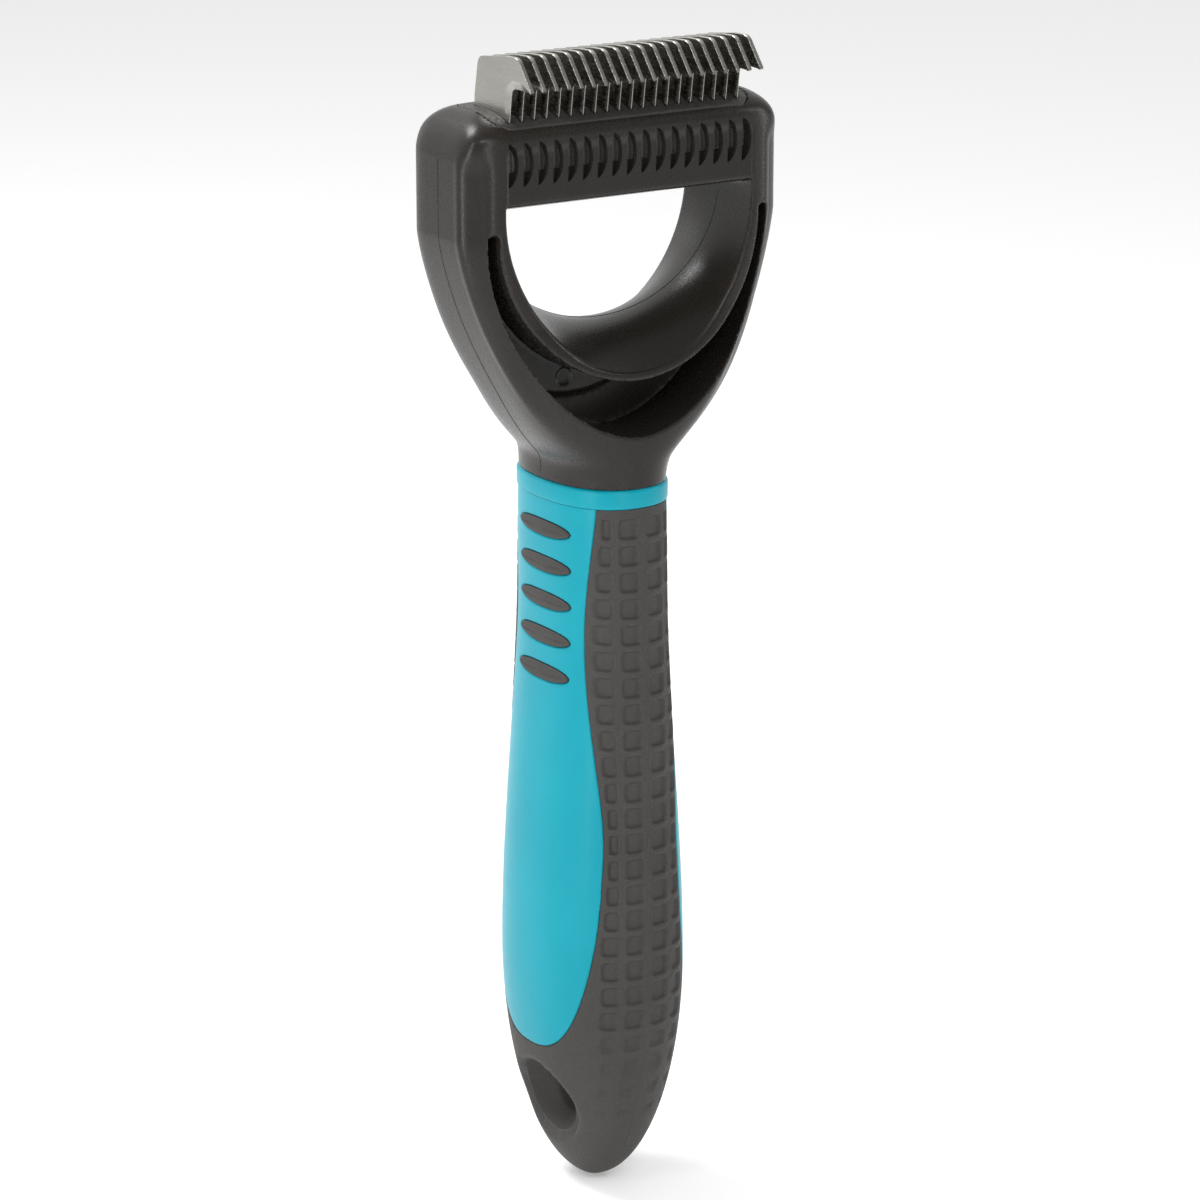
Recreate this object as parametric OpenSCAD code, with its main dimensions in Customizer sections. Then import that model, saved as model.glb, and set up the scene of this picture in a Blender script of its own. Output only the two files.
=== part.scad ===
// Dematting comb: a row of hooked steel blades in a D-shaped head with a finger window,
// on a two-colour grip. Millimetres. +Z is up, -Y is the side that the hooks point to.
// The origin is the centre of the hang hole.

/* [Grip] */
// Height of the collar's top edge above the hang hole
grip_l = 109.5; // [90:0.5:132]
// Depth of the rounded end below the hang hole
tip_drop = 16.2; // [13.5:0.1:20]
// Width of the grip at the collar
collar_w = 20.4; // [18:0.2:24.6]
// Depth of the grip at the collar, front to back
collar_d = 29.8; // [25:0.2:36]
// Width of the grip at its waist
waist_w = 19.8; // [17:0.2:23.8]
// Distance of the waist below the collar
waist_drop = 20; // [16:0.5:24]
// Greatest width of the grip
belly_w = 27.1; // [23:0.1:32.6]
// Greatest depth of the grip, front to back
belly_d = 35; // [30:0.5:42]
// Height of the widest place above the hang hole
belly_rise = 25.5; // [21:0.5:31]
// Thickness of the soft skin over the core
skin_t = 1.8; // [1.4:0.1:2.4]

/* [Hang hole] */
// Diameter of the hang hole
hole_d = 8; // [6:0.5:9.6]
// Depth of the dished mouth, front to back
mouth_d = 16.6; // [13:0.2:20]
// Height of the dished mouth
mouth_h = 12.8; // [11:0.2:15.4]
// Soft wall between the mouth's edge and the core
mouth_wall = 1.6; // [1.2:0.1:2]

/* [Side panels] */
// Depth of a side panel at its narrowest place
panel_waist = 20.6; // [17:0.2:24.8]
// Depth of a side panel at its top end
panel_top = 24.2; // [20:0.2:26]
// Depth of a side panel at its widest place
panel_belly = 29.8; // [24:0.2:31]
// Height of the panel's round end above the hang hole
panel_rise = 10.5; // [8.5:0.5:13]
// Number of finger inlays in each panel
inlay_n = 5; // [3:1:5]
// Spacing of the finger inlays
inlay_pitch = 6.2; // [5:0.1:6.8]
// Length of a finger inlay
inlay_l = 15; // [12:0.5:18]
// Greatest thickness of a finger inlay
inlay_w = 2.7; // [2:0.1:3.4]

/* [Head] */
// Distance from the outer blade to the side of the head
shoulder_w = 8.55; // [7.5:0.05:11]
// Depth of the head, front to back
head_d = 20.8; // [18:0.2:25]
// Forward offset of the head from the grip's axis
head_lead = 2; // [0:0.1:3]
// Height of the head above the collar
head_h = 63.2; // [53:0.2:76]
// Radius of the head's upper corners
corner_r = 7.5; // [5:0.5:9]
// Height of the crossbar
bar_h = 16.7; // [15:0.1:20]
// Thickness of the side posts at the window
post_w = 6.1; // [5:0.1:7.4]
// Height of the window's low point above the collar, at its narrowest place
saddle_h = 26.5; // [24:0.1:30]
// Drop of the loop's rim below the narrowest place, at the front and the back
rim_drop = 7.1; // [5:0.1:8.6]
// Wall of the loop at its rim
rim_t = 1.3; // [1:0.1:1.6]
// Width of the pocket's narrow upper ends
slot_w = 1.8; // [1.4:0.1:2.2]
// Height of the pocket's low point above the collar
pocket_h = 8.8; // [7:0.1:10.6]
// Thickness of the web between the front and the back pocket
web_t = 3; // [2:0.2:3.6]

/* [Scallops] */
// Number of scallops on the front of the crossbar
scallop_n = 17; // [12:1:19]
// Height of a scallop
scallop_h = 6; // [5:0.1:7.2]
// Width of a scallop
scallop_w = 1.6; // [1.2:0.1:1.9]
// Depth of a scallop
scallop_t = 0.5; // [0.3:0.1:0.8]

/* [Blades] */
// Number of blades
blade_n = 20; // [16:1:20]
// Spacing of the blades
blade_pitch = 2.3; // [2:0.1:2.8]
// Thickness of a blade
blade_t = 0.7; // [0.5:0.1:0.9]
// Height of a blade above the crossbar
blade_h = 10.4; // [9:0.1:12.4]
// Distance from the blade's back edge to its hooked tip
blade_reach = 17.1; // [15.6:0.1:20]
// Depth of the blade's neck
neck_d = 10.2; // [8.6:0.1:10.8]
// Height of the hooked tip above the crossbar
tip_h = 5.4; // [4.6:0.1:6.4]
// Length of the tang inside the holder
tang_l = 6; // [5:0.2:7]

/* [Hidden] */
fit = 0.1;                                  // clearance round a seated piece
past = 1;                                   // how far a cutter runs past a face
turns = 44;                                 // points round a section
edge_steps = 10;                            // points along half of a window or pocket edge
seat_x = 8.6;                               // distance of an inlay's flat back from the grip's axis
inlay_rise = 0.25;                          // how far an inlay stands proud of its panel

head_hw = (blade_n - 1) * blade_pitch / 2 + shoulder_w;
window_hw = head_hw - post_w;
bar_bottom = head_h - bar_h;
bar_round = 4;                              // rounding of the crossbar's lower edges
spring_h = bar_bottom - 0.5;                // where the window's curve meets its straight sides
front_y = -head_lead - head_d / 2;
back_y = -head_lead + head_d / 2;
ring_h = 3.3;                               // height of the collar ring
ring_lip = 0.25;                            // how far the ring stands proud of the grip
mouth_x = belly_w / 2 - 2.5;                // distance of the mouth's outer end from the grip's axis
throat_x = 3.7;                             // distance of the straight hole's ends from the grip's axis
core_end = mouth_h / 2 + mouth_wall;        // height of the core's lower end above the hang hole
belly_z = belly_rise - grip_l;              // measured from the collar, like every z in the grip
cap_h = belly_rise + tip_drop;

holder_hl = (blade_n - 1) * blade_pitch / 2 + 2.6;
holder_back = 4;
holder_front = front_y + 1.2;
holder_r = 3.4;
holder_t = 9.4;
blade_back = 0.2;                           // y of the blades' back edge
bar_top = head_h - 1.2;                     // height at which the blades leave the holder
rod_d = 1.8;
rod_z = bar_top - 3.4;
rod_front_y = blade_back - neck_d + 2.8;
rod_rear_y = blade_back - 2.4;
rod_hl = holder_hl - 1;

tang_w = 12;                                // block that joins the head to the core
tang_d = 19;
tang_h = 24;

grip_n = 2.3;                               // roundness of the grip's sections
head_n = 7;                                 // squareness of the head's sections

function blade_name(i) = str("blade_", i < 10 ? "0" : "", i);
function ease(t) = let (c = min(max(t, 0), 1)) c * c * (3 - 2 * c);
function blend(a, b, t) = a + (b - a) * ease(t);
function smooth_max(a, b, s) = (a + b + sqrt((a - b) * (a - b) + s * s)) / 2;
function corner(a, n) = sign(a) * pow(abs(a), 2 / n);
function section(hw, hd, n, y0, z) =
    [for (i = [0 : turns - 1]) let (a = 360 * (i + 0.5) / turns)
        [hw * corner(cos(a), n), y0 + hd * corner(sin(a), n), z]];

// Half width and half depth of the grip at a height below the collar
function grip_hw(z) = z > -waist_drop
    ? blend(waist_w, collar_w, 1 + z / waist_drop) / 2
    : blend(waist_w, belly_w, (z + waist_drop) / (belly_z + waist_drop)) / 2;
function grip_hd(z) = collar_d / 2 + (belly_d - collar_d) / 2 * sin(90 * z / belly_z);

// Half width and the front and back of the head at a height above the collar
function flank(z) = head_hw * sqrt(1 - pow(max(0, 1 - z / (head_h * 0.7)), 1.8));
function shoulder(z) = let (c = head_h - corner_r)
    z < c ? 0 : corner_r - sqrt(max(0, corner_r * corner_r - (z - c) * (z - c)));
function head_side(z) = smooth_max(collar_w / 2 - 0.2, flank(z), 1.5) - shoulder(z);
crown_h = 4.2;                              // height over which the crossbar's top is rounded
function crown(z) = let (t = max(0, z - head_h + crown_h) / crown_h) 1 - sqrt(max(0, 1 - t * t));
function head_front(z) = blend(collar_d / 2, -front_y, z / (head_h * 0.72))
                         + 0.7 * sin(180 * min(1, z / (head_h * 0.45))) - (-front_y - 3) * crown(z);
function head_back(z) = blend(collar_d / 2, back_y, z / (head_h * 0.72)) - (back_y - 2) * crown(z);

// Closed solid through sections of equally many points, each counter-clockwise as seen from the last
module loft(rings) {
    n = len(rings[0]);
    last = len(rings) - 1;
    sides = [for (r = [0 : last - 1]) for (i = [0 : n - 1]) let (j = (i + 1) % n)
        each [[r * n + i, (r + 1) * n + i, (r + 1) * n + j], [r * n + i, (r + 1) * n + j, r * n + j]]];
    polyhedron([for (r = rings) each r],
               concat([[for (i = [0 : n - 1]) i]], sides, [[for (i = [n - 1 : -1 : 0]) last * n + i]]));
}

// The grip's outer form, shrunk all round by inset, with its round end
module grip_form(inset, top = 0) {
    straight = [for (k = [11 : -1 : 0]) let (z = top + (belly_z - top) * k / 12)
        section(grip_hw(z) - inset, grip_hd(z) - inset, grip_n, 0, z)];
    cap = [for (a = concat(87, [for (k = [8 : -1 : 0]) 10 * k]))
        section((belly_w / 2 - inset) * cos(a), (belly_d / 2 - inset) * cos(a), grip_n, 0,
                belly_z - (cap_h - inset) * sin(a))];
    loft(concat(cap, straight));
}

// Outline of a side panel, grown all round by grow
module panel_outline(grow = 0) {
    end_z = panel_rise - grip_l;
    wide_z = end_z + 36;
    narrow_z = -waist_drop - 4;
    upper = [for (k = [0 : 10]) let (z = grow - k * (grow - wide_z) / 10)
        [z > narrow_z ? blend(panel_waist, panel_top, 1 - z / narrow_z) / 2
                      : blend(panel_waist, panel_belly, (narrow_z - z) / (narrow_z - wide_z)) / 2, z]];
    lower = [for (a = [12 : 12 : 84])
        [panel_belly / 2 * pow(cos(a), 0.74), wide_z - (wide_z - end_z) * pow(sin(a), 0.74)]];
    right = [for (p = concat(upper, lower)) p + [grow, 0]];
    bottom = [[0, end_z - grow]];
    polygon(concat(right, bottom, [for (i = [len(right) - 1 : -1 : 0]) [-right[i][0], right[i][1]]]));
}

// Puts an outline drawn in (y, z) across the whole width of the part
module across(width) {
    rotate([90, 0, 90]) linear_extrude(width, center = true) children();
}

// A pointed lens with its long axis along the outline's first axis
module lens(l, w) {
    r = (l * l / 4 + w * w / 4) / w;
    intersection() {
        translate([0, w / 2 - r]) circle(r, $fn = 96);
        translate([0, r - w / 2]) circle(r, $fn = 96);
    }
}

// Curved lower edge of the window or pocket, from side to side
function arch(hw, top_z, low_z, n) =
    [for (k = [-edge_steps : edge_steps]) let (a = 90 * k / edge_steps)
        [hw * corner(sin(a), n), top_z - (top_z - low_z) * corner(cos(a), n)]];

module head_envelope() {
    flare = [for (k = [0 : 9]) head_h * 0.5 * k / 9];
    posts = [for (k = [1 : 3]) head_h * 0.5 + (head_h * 0.5 - corner_r) * k / 3];
    top = [for (a = [18 : 18 : 72]) head_h - corner_r + corner_r * sin(a)];
    loft([for (z = concat(flare, posts, top))
        section(head_side(z), (head_front(z) + head_back(z)) / 2, blend(grip_n, head_n, z / 20),
                (head_back(z) - head_front(z)) / 2, z)]);
}

// Finger window: narrow at the middle, flared to the front and the back, under a rounded crossbar
module window() {
    rim_y = head_d / 2 + 1.6;
    loft([for (s = [1.6, 1, 0.8, 0.6, 0.3, 0, -0.3, -0.6, -0.8, -1, -1.6])
        let (t = min(abs(s), 1), low = saddle_h - rim_drop * t * t,
             top = bar_bottom + bar_round * (1 - sqrt(1 - pow(t, 4))))
        [for (p = concat([[-window_hw, top]], arch(window_hw, spring_h, low, 2.2), [[window_hw, top]]))
            [p[0], s * rim_y - head_lead, p[1]]]]);
}

// Crescent pocket round the loop, drawn in (x, z)
module pocket_outline() {
    inner_hw = window_hw + rim_t;
    outer_hw = inner_hw + slot_w;
    low = saddle_h - rim_drop - rim_t;
    top = bar_bottom - 2;
    inner = arch(inner_hw, top, low, 2.4);
    outer = arch(outer_hw, top, pocket_h, 2.2);
    polygon(concat(outer, [for (i = [len(inner) - 1 : -1 : 0]) inner[i]]));
    for (side = [-1, 1])
        translate([side * (inner_hw + slot_w / 2), top]) circle(slot_w / 2, $fn = 24);
}

module pocket(y0, y1) {
    translate([0, y1, 0]) rotate([90, 0, 0]) linear_extrude(y1 - y0) pocket_outline();
}

module scallops() {
    step = (blade_n - 1) * blade_pitch / (scallop_n - 1);
    for (i = [0 : scallop_n - 1])
        translate([(i - (scallop_n - 1) / 2) * step, front_y + scallop_t, bar_bottom + 9.8])
            rotate([90, 0, 0]) linear_extrude(scallop_t + past) rotate(90) lens(scallop_h, scallop_w);
}

// Plan of the blade holder, grown all round by grow
module holder_plan(grow = 0) {
    r = holder_r + grow;
    mid = (holder_front + holder_back) / 2;
    across_y = (holder_back - holder_front) / 2 + grow - r;
    square([2 * (holder_hl + grow), 2 * across_y], center = true);
    square([2 * (holder_hl + grow - r), 2 * (across_y + r)], center = true);
    for (x = [-1, 1], y = [-1, 1])
        translate([x * (holder_hl + grow - r), y * across_y]) circle(r, $fn = 32);
}

module holder_block(grow = 0) {
    translate([0, (holder_front + holder_back) / 2, head_h - holder_t - grow])
        linear_extrude(holder_t + grow + past) holder_plan(grow);
}

module above_collar() {
    translate([0, 0, grip_l]) children();
}

// Head frame: D-shaped loop, crossbar, pockets and the tang that goes down into the core
module head_frame() {
    color([0.24, 0.23, 0.22]) above_collar() {
        difference() {
            head_envelope();
            window();
            pocket(front_y - 6, -head_lead - web_t / 2);
            pocket(-head_lead + web_t / 2, back_y + 8);
            holder_block(fit);
            scallops();
        }
        translate([-tang_w / 2, -tang_d / 2, -tang_h]) cube([tang_w, tang_d, tang_h + 4]);
    }
}

// Outline of one blade in (y, z), with its hooked tip and its tang
module blade_outline() {
    top = bar_top + blade_h;
    rise = 1;                               // the top edge climbs this much towards the front
    nose = blade_back - blade_reach + 4.6;  // where the top edge turns down to the tip
    tip = [blade_back - blade_reach, bar_top + tip_h];
    neck = blade_back - neck_d;
    roof = tip[1] + 0.1;
    throat_r = 1.5;
    bend = [for (a = [90 : -15 : 0])
        [neck - 0.6 + throat_r * (cos(a) - 1), roof - throat_r * (1 - sin(a))]];
    back = [for (a = [170 : -20 : 100])
        [blade_back - 2.2 - 1.2 * cos(a), top - rise - 1.3 + 1.3 * sin(a)]];
    front = [for (a = [80 : -16 : 32]) [nose - 1.8 * cos(a) + 0.6, top - 1.8 + 1.8 * sin(a)]];
    polygon(concat([[blade_back, bar_top - tang_l], [blade_back, bar_top + 1]], back, front,
                   [tip, tip + [0.5, -0.25]], bend,
                   [[neck, bar_top], [neck + 0.4, bar_top - tang_l]]));
}

module rod(y, d) {
    translate([-rod_hl, y, rod_z]) rotate([0, 90, 0]) cylinder(h = 2 * rod_hl, d = d, $fn = 32);
}

module blade(i) {
    color([0.78, 0.78, 0.76]) above_collar() difference() {
        translate([(i - (blade_n + 1) / 2) * blade_pitch, 0, 0]) across(blade_t) blade_outline();
        rod(rod_front_y, rod_d + fit);
        rod(rod_rear_y, rod_d + fit);
    }
}

// Holder: flush with the crossbar, slotted for the blades and bored for the two rods
module blade_holder() {
    color([0.22, 0.21, 0.2]) above_collar() difference() {
        intersection() {
            head_envelope();
            holder_block();
        }
        for (i = [1 : blade_n])
            translate([(i - (blade_n + 1) / 2) * blade_pitch - (blade_t + fit) / 2,
                       blade_back - neck_d - fit, bar_top - tang_l - fit])
                cube([blade_t + fit, neck_d + 2 * fit, tang_l + 4]);
        rod(rod_front_y, rod_d + fit);
        rod(rod_rear_y, rod_d + fit);
    }
}

module tie_rod_front() {
    color([0.7, 0.7, 0.7]) above_collar() rod(rod_front_y, rod_d);
}

module tie_rod_rear() {
    color([0.7, 0.7, 0.7]) above_collar() rod(rod_rear_y, rod_d);
}

module tang_space() {
    translate([-tang_w / 2 - fit, -tang_d / 2 - fit, -tang_h - fit])
        cube([tang_w + 2 * fit, tang_d + 2 * fit, tang_h + past]);
}

// Collar ring: a raised band round the top of the grip
module collar_ring() {
    color([0, 0.66, 0.74]) above_collar() difference() {
        loft([for (e = [[0.35, -ring_h], [0, 0.35 - ring_h], [0, -0.35], [0.35, 0]])
            section(collar_w / 2 + ring_lip - e[0], collar_d / 2 + ring_lip - e[0], grip_n, 0, e[1])]);
        tang_space();
    }
}

// Lens prisms of one side's finger inlays, from their flat backs outwards
module inlay_prisms(side, grow = 0) {
    first = -8.3;
    translate([side * (seat_x - grow + belly_w / 2), 0, 0]) across(belly_w)
        for (i = [0 : inlay_n - 1])
            translate([0, first - i * inlay_pitch]) lens(inlay_l + 2 * grow, inlay_w + 2 * grow);
}

module inlay_set(side) {
    intersection() {
        grip_form(-inlay_rise, -ring_h);
        inlay_prisms(side);
    }
}

// Space inside the skin, down to the solid lower end that holds the hang hole
module inside_skin(grow = 0) {
    intersection() {
        grip_form(skin_t - grow, -ring_h + 2 * grow);
        translate([-belly_w / 2, -belly_d / 2, core_end - grow - grip_l])
            cube([belly_w, belly_d, 2 * grip_l]);
    }
}

// Core: the coloured body of the grip, with the two side panels flush with the skin
module handle_core() {
    color([0, 0.66, 0.74]) above_collar() difference() {
        union() {
            inside_skin();
            intersection() {
                grip_form(0, -ring_h);
                across(2 * belly_w) panel_outline();
            }
        }
        inlay_prisms(-1, fit / 2);
        inlay_prisms(1, fit / 2);
        tang_space();
    }
}

// Dished mouth of the hang hole on one side
module mouth(side) {
    hull() {
        translate([side * mouth_x, 0, -grip_l]) rotate([0, 90, 0])
            scale([mouth_h / mouth_d, 1, 1]) cylinder(h = 2, d = mouth_d, center = true, $fn = 40);
        translate([side * (throat_x + past / 2), 0, -grip_l]) rotate([0, 90, 0])
            cylinder(h = past, d = hole_d, center = true, $fn = 40);
    }
}

// Skin: soft front and back strips that join in a solid lower end round the hang hole
module grip_overmould() {
    color([0.29, 0.28, 0.27]) above_collar() difference() {
        grip_form(0, -ring_h);
        inside_skin(fit / 2);
        across(2 * belly_w) panel_outline(fit / 2);
        mouth(-1);
        mouth(1);
        translate([0, 0, -grip_l]) rotate([0, 90, 0])
            cylinder(h = 2 * belly_w, d = hole_d, center = true, $fn = 64);
    }
}

module grip_inlays_left() {
    color([0.29, 0.28, 0.27]) above_collar() inlay_set(-1);
}

module grip_inlays_right() {
    color([0.29, 0.28, 0.27]) above_collar() inlay_set(1);
}

head_frame();
blade_holder();
tie_rod_front();
tie_rod_rear();
for (i = [1 : blade_n])
    blade(i);
collar_ring();
handle_core();
grip_overmould();
grip_inlays_left();
grip_inlays_right();
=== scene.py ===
"""Looks of the dematting comb: steel blades, a satin plastic head, and a grip in two colours.

Every size is in millimetres until a mesh is made. Heights are measured from the collar's top edge,
as in the part's own source, and each mesh is lifted from there into the frame.
"""
from __future__ import annotations

import logging
import math
from dataclasses import dataclass
from enum import Enum
from typing import Callable

import bmesh
import bpy
import numpy as np
from mathutils import Matrix, Vector

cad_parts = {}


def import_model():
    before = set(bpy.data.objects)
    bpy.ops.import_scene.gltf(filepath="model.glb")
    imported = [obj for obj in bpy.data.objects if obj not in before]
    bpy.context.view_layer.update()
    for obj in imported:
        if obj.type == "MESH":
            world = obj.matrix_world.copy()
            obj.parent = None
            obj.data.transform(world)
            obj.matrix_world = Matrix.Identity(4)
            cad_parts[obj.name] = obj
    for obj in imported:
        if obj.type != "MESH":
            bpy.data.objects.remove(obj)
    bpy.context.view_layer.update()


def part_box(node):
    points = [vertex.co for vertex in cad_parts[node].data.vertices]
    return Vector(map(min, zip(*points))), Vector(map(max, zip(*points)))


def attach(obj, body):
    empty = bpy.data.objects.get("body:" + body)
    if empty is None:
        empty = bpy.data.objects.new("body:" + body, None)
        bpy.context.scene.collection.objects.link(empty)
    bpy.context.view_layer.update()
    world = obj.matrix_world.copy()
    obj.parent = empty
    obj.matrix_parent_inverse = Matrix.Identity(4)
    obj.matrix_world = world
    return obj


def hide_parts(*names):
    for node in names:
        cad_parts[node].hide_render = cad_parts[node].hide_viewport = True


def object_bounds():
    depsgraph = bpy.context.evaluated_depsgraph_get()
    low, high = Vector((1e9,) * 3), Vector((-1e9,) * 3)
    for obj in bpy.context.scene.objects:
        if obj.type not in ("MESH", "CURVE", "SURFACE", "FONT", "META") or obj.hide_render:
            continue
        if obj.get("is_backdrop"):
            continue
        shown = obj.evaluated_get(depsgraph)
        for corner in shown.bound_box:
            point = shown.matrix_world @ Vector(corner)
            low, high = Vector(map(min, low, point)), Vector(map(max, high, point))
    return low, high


LOG = logging.getLogger("comb")
MM = 0.001
Array = np.ndarray
Faces = list[tuple[int, ...]]


class Side(Enum):
    """The two sides of the comb along X."""

    LEFT = -1
    RIGHT = 1


class Face(Enum):
    """The front of the comb, where the hooks point, and its back."""

    FRONT = -1
    BACK = 1


# ---------------------------------------------------------------- shape rules


def ease(t: Array | float) -> Array:
    """Smooth step from 0 to 1.

    Args:
        t: Position, where 0 is the start and 1 the end.

    Returns:
        The eased value.
    """
    c = np.clip(t, 0.0, 1.0)
    return c * c * (3.0 - 2.0 * c)


def blend(a: float, b: float, t: Array | float) -> Array:
    """Eased passage from a to b as t goes from 0 to 1."""
    return a + (b - a) * ease(t)


def blend_line(a: float, b: float, t: float) -> float:
    """Straight passage from a to b as t goes from 0 to 1."""
    return a + (b - a) * t


def power(v: Array, n: float) -> Array:
    """Signed power that keeps the sign of v."""
    return np.sign(v) * np.abs(v) ** n


def round_max(a: Array, b: Array, r: float) -> Array:
    """Larger of two fields, with the corner between them rounded.

    Args:
        a: First field.
        b: Second field.
        r: Width of the rounding in millimetres.

    Returns:
        The joined field.
    """
    h = np.clip(0.5 + 0.5 * (a - b) / r, 0.0, 1.0)
    return b + (a - b) * h + r * h * (1.0 - h)


def oval_distance(u: Array, v: Array, hu: Array | float, hv: Array | float, n: Array | float) -> Array:
    """Distance from a squared oval, near enough close to its edge.

    Args:
        u: First coordinate.
        v: Second coordinate.
        hu: Half size along the first coordinate.
        hv: Half size along the second coordinate.
        n: Squareness, 2 for an ellipse.

    Returns:
        Distance in millimetres, negative inside.
    """
    a = np.abs(u) / hu
    b = np.abs(v) / hv
    f = np.maximum((a ** n + b ** n) ** (1.0 / n), 1e-4)
    slope = np.sqrt(((a / f) ** (n - 1) / hu) ** 2 + ((b / f) ** (n - 1) / hv) ** 2)
    return (f - 1.0) / np.maximum(slope, 1e-6)


def rounded_box_distance(u: Array, v: Array, hu: Array | float, hv: Array | float, r: float) -> Array:
    """Distance from a rectangle with rounded corners, negative inside."""
    qu = np.abs(u) - (hu - r)
    qv = np.abs(v) - (hv - r)
    outside = np.hypot(np.maximum(qu, 0.0), np.maximum(qv, 0.0))
    return outside + np.minimum(np.maximum(qu, qv), 0.0) - r


# ---------------------------------------------------------------- mesh helpers


def make_object(name: str, points: Array, faces: Faces | Array, lift: float) -> bpy.types.Object:
    """Makes a mesh object whose place is in its mesh.

    Args:
        name: Name of the piece.
        points: Points in millimetres, heights from the collar's top edge.
        faces: Corner numbers of each face.
        lift: Height of the collar's top edge in the frame, in millimetres.

    Returns:
        The new object, linked to the scene.
    """
    placed = (np.asarray(points, dtype=float) + np.array([0.0, 0.0, lift])) * MM
    mesh = bpy.data.meshes.new(name)
    mesh.from_pydata(placed.tolist(), [], [list(map(int, f)) for f in faces])
    mesh.validate()
    obj = bpy.data.objects.new(name, mesh)
    bpy.context.scene.collection.objects.link(obj)
    return obj


def shade(obj: bpy.types.Object, angle: float = 40.0) -> None:
    """Shades a mesh smooth, with sharp edges where it turns by more than an angle in degrees."""
    bm = bmesh.new()
    bm.from_mesh(obj.data)
    bmesh.ops.recalc_face_normals(bm, faces=bm.faces)
    for face in bm.faces:
        face.smooth = True
    for edge in bm.edges:
        edge.smooth = len(edge.link_faces) != 2 or edge.calc_face_angle(0.0) < math.radians(angle)
    bm.to_mesh(obj.data)
    bm.free()


def settle(obj: bpy.types.Object, name: str | None = None) -> bpy.types.Object:
    """Turns an object with modifiers into a plain mesh and takes the modifiers off.

    Args:
        obj: The object to evaluate.
        name: New mesh name, or None to keep the object's.

    Returns:
        The same object with its evaluated mesh.
    """
    graph = bpy.context.evaluated_depsgraph_get()
    graph.update()
    mesh = bpy.data.meshes.new_from_object(obj.evaluated_get(graph), depsgraph=graph)
    mesh.name = name or obj.name
    obj.modifiers.clear()
    obj.data = mesh
    return obj


def carve(obj: bpy.types.Object, cutter: bpy.types.Object) -> None:
    """Cuts one closed mesh out of another and removes the cutter.

    Args:
        obj: The piece to cut.
        cutter: The closed mesh that is taken away.
    """
    before = len(obj.data.vertices)
    for solver in ("MANIFOLD", "EXACT"):
        plain = obj.data
        modifier = obj.modifiers.new("cut", "BOOLEAN")
        modifier.operation = "DIFFERENCE"
        modifier.solver = solver
        modifier.object = cutter
        settle(obj)
        if len(obj.data.vertices) not in (0, before):
            break
        obj.data = plain
        LOG.info("%s: the %s solver left %s uncut", obj.name, solver.lower(), cutter.name)
    bpy.data.objects.remove(cutter, do_unlink=True)


def join_into(obj: bpy.types.Object, extra: bpy.types.Object) -> None:
    """Adds the mesh of one object to another and removes the first."""
    bm = bmesh.new()
    bm.from_mesh(obj.data)
    bm.from_mesh(extra.data)
    bm.to_mesh(obj.data)
    bm.free()
    bpy.data.objects.remove(extra, do_unlink=True)


def grid_faces(rows: int, columns: int, start: int = 0, flip: bool = False) -> Faces:
    """Faces of rings that close on themselves.

    Args:
        rows: Number of rings.
        columns: Points in a ring.
        start: Number of the first point.
        flip: True to turn the faces round.

    Returns:
        The quads between neighbouring rings.
    """
    faces = []
    for r in range(rows - 1):
        a = start + r * columns
        b = a + columns
        for c in range(columns):
            d = (c + 1) % columns
            quad = (a + c, a + d, b + d, b + c)
            faces.append(quad[::-1] if flip else quad)
    return faces


def closed_rings(rows: int, columns: int, flip: bool = False) -> Faces:
    """Faces of rings with a flat cap over the first and the last."""
    last = (rows - 1) * columns
    caps = [tuple(range(columns)), tuple(range(last, last + columns))[::-1]]
    return grid_faces(rows, columns, flip=flip) + caps


def gather(parts: list[tuple[Array, Faces]]) -> tuple[Array, Faces]:
    """Joins several pieces into one list of points and one of faces.

    Args:
        parts: Points and faces of each piece.

    Returns:
        All the points, and the faces with their corner numbers moved on.
    """
    faces: Faces = []
    start = 0
    for points, own in parts:
        faces += [tuple(start + corner for corner in face) for face in own]
        start += len(points)
    return np.concatenate([points for points, _ in parts]), faces


def grid_normals(points: Array) -> Array:
    """Outward normals of a grid of rings, rows from the top down.

    Args:
        points: Array of rows, columns and 3 coordinates.

    Returns:
        Unit normals in the same layout.
    """
    around = np.roll(points, -1, axis=1) - np.roll(points, 1, axis=1)
    down = np.gradient(points, axis=0)
    normal = np.cross(down, around)
    return normal / np.maximum(np.linalg.norm(normal, axis=2, keepdims=True), 1e-9)


def tube(path: Array, radius: float, sides: int = 6) -> tuple[Array, Faces]:
    """Closed tube along a path.

    Args:
        path: Points along the middle.
        radius: Radius of the tube.
        sides: Number of sides.

    Returns:
        Points and faces.
    """
    ahead = np.gradient(path, axis=0)
    ahead /= np.linalg.norm(ahead, axis=1, keepdims=True)
    aside = np.cross(ahead, np.array([0.0, 1.0, 0.0]))
    aside /= np.linalg.norm(aside, axis=1, keepdims=True)
    upward = np.cross(aside, ahead)
    angles = 2 * np.pi * np.arange(sides) / sides
    ring = aside[:, None] * np.cos(angles)[None, :, None] + upward[:, None] * np.sin(angles)[None, :, None]
    return (path[:, None] + radius * ring).reshape(-1, 3), closed_rings(len(path), sides)


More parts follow.
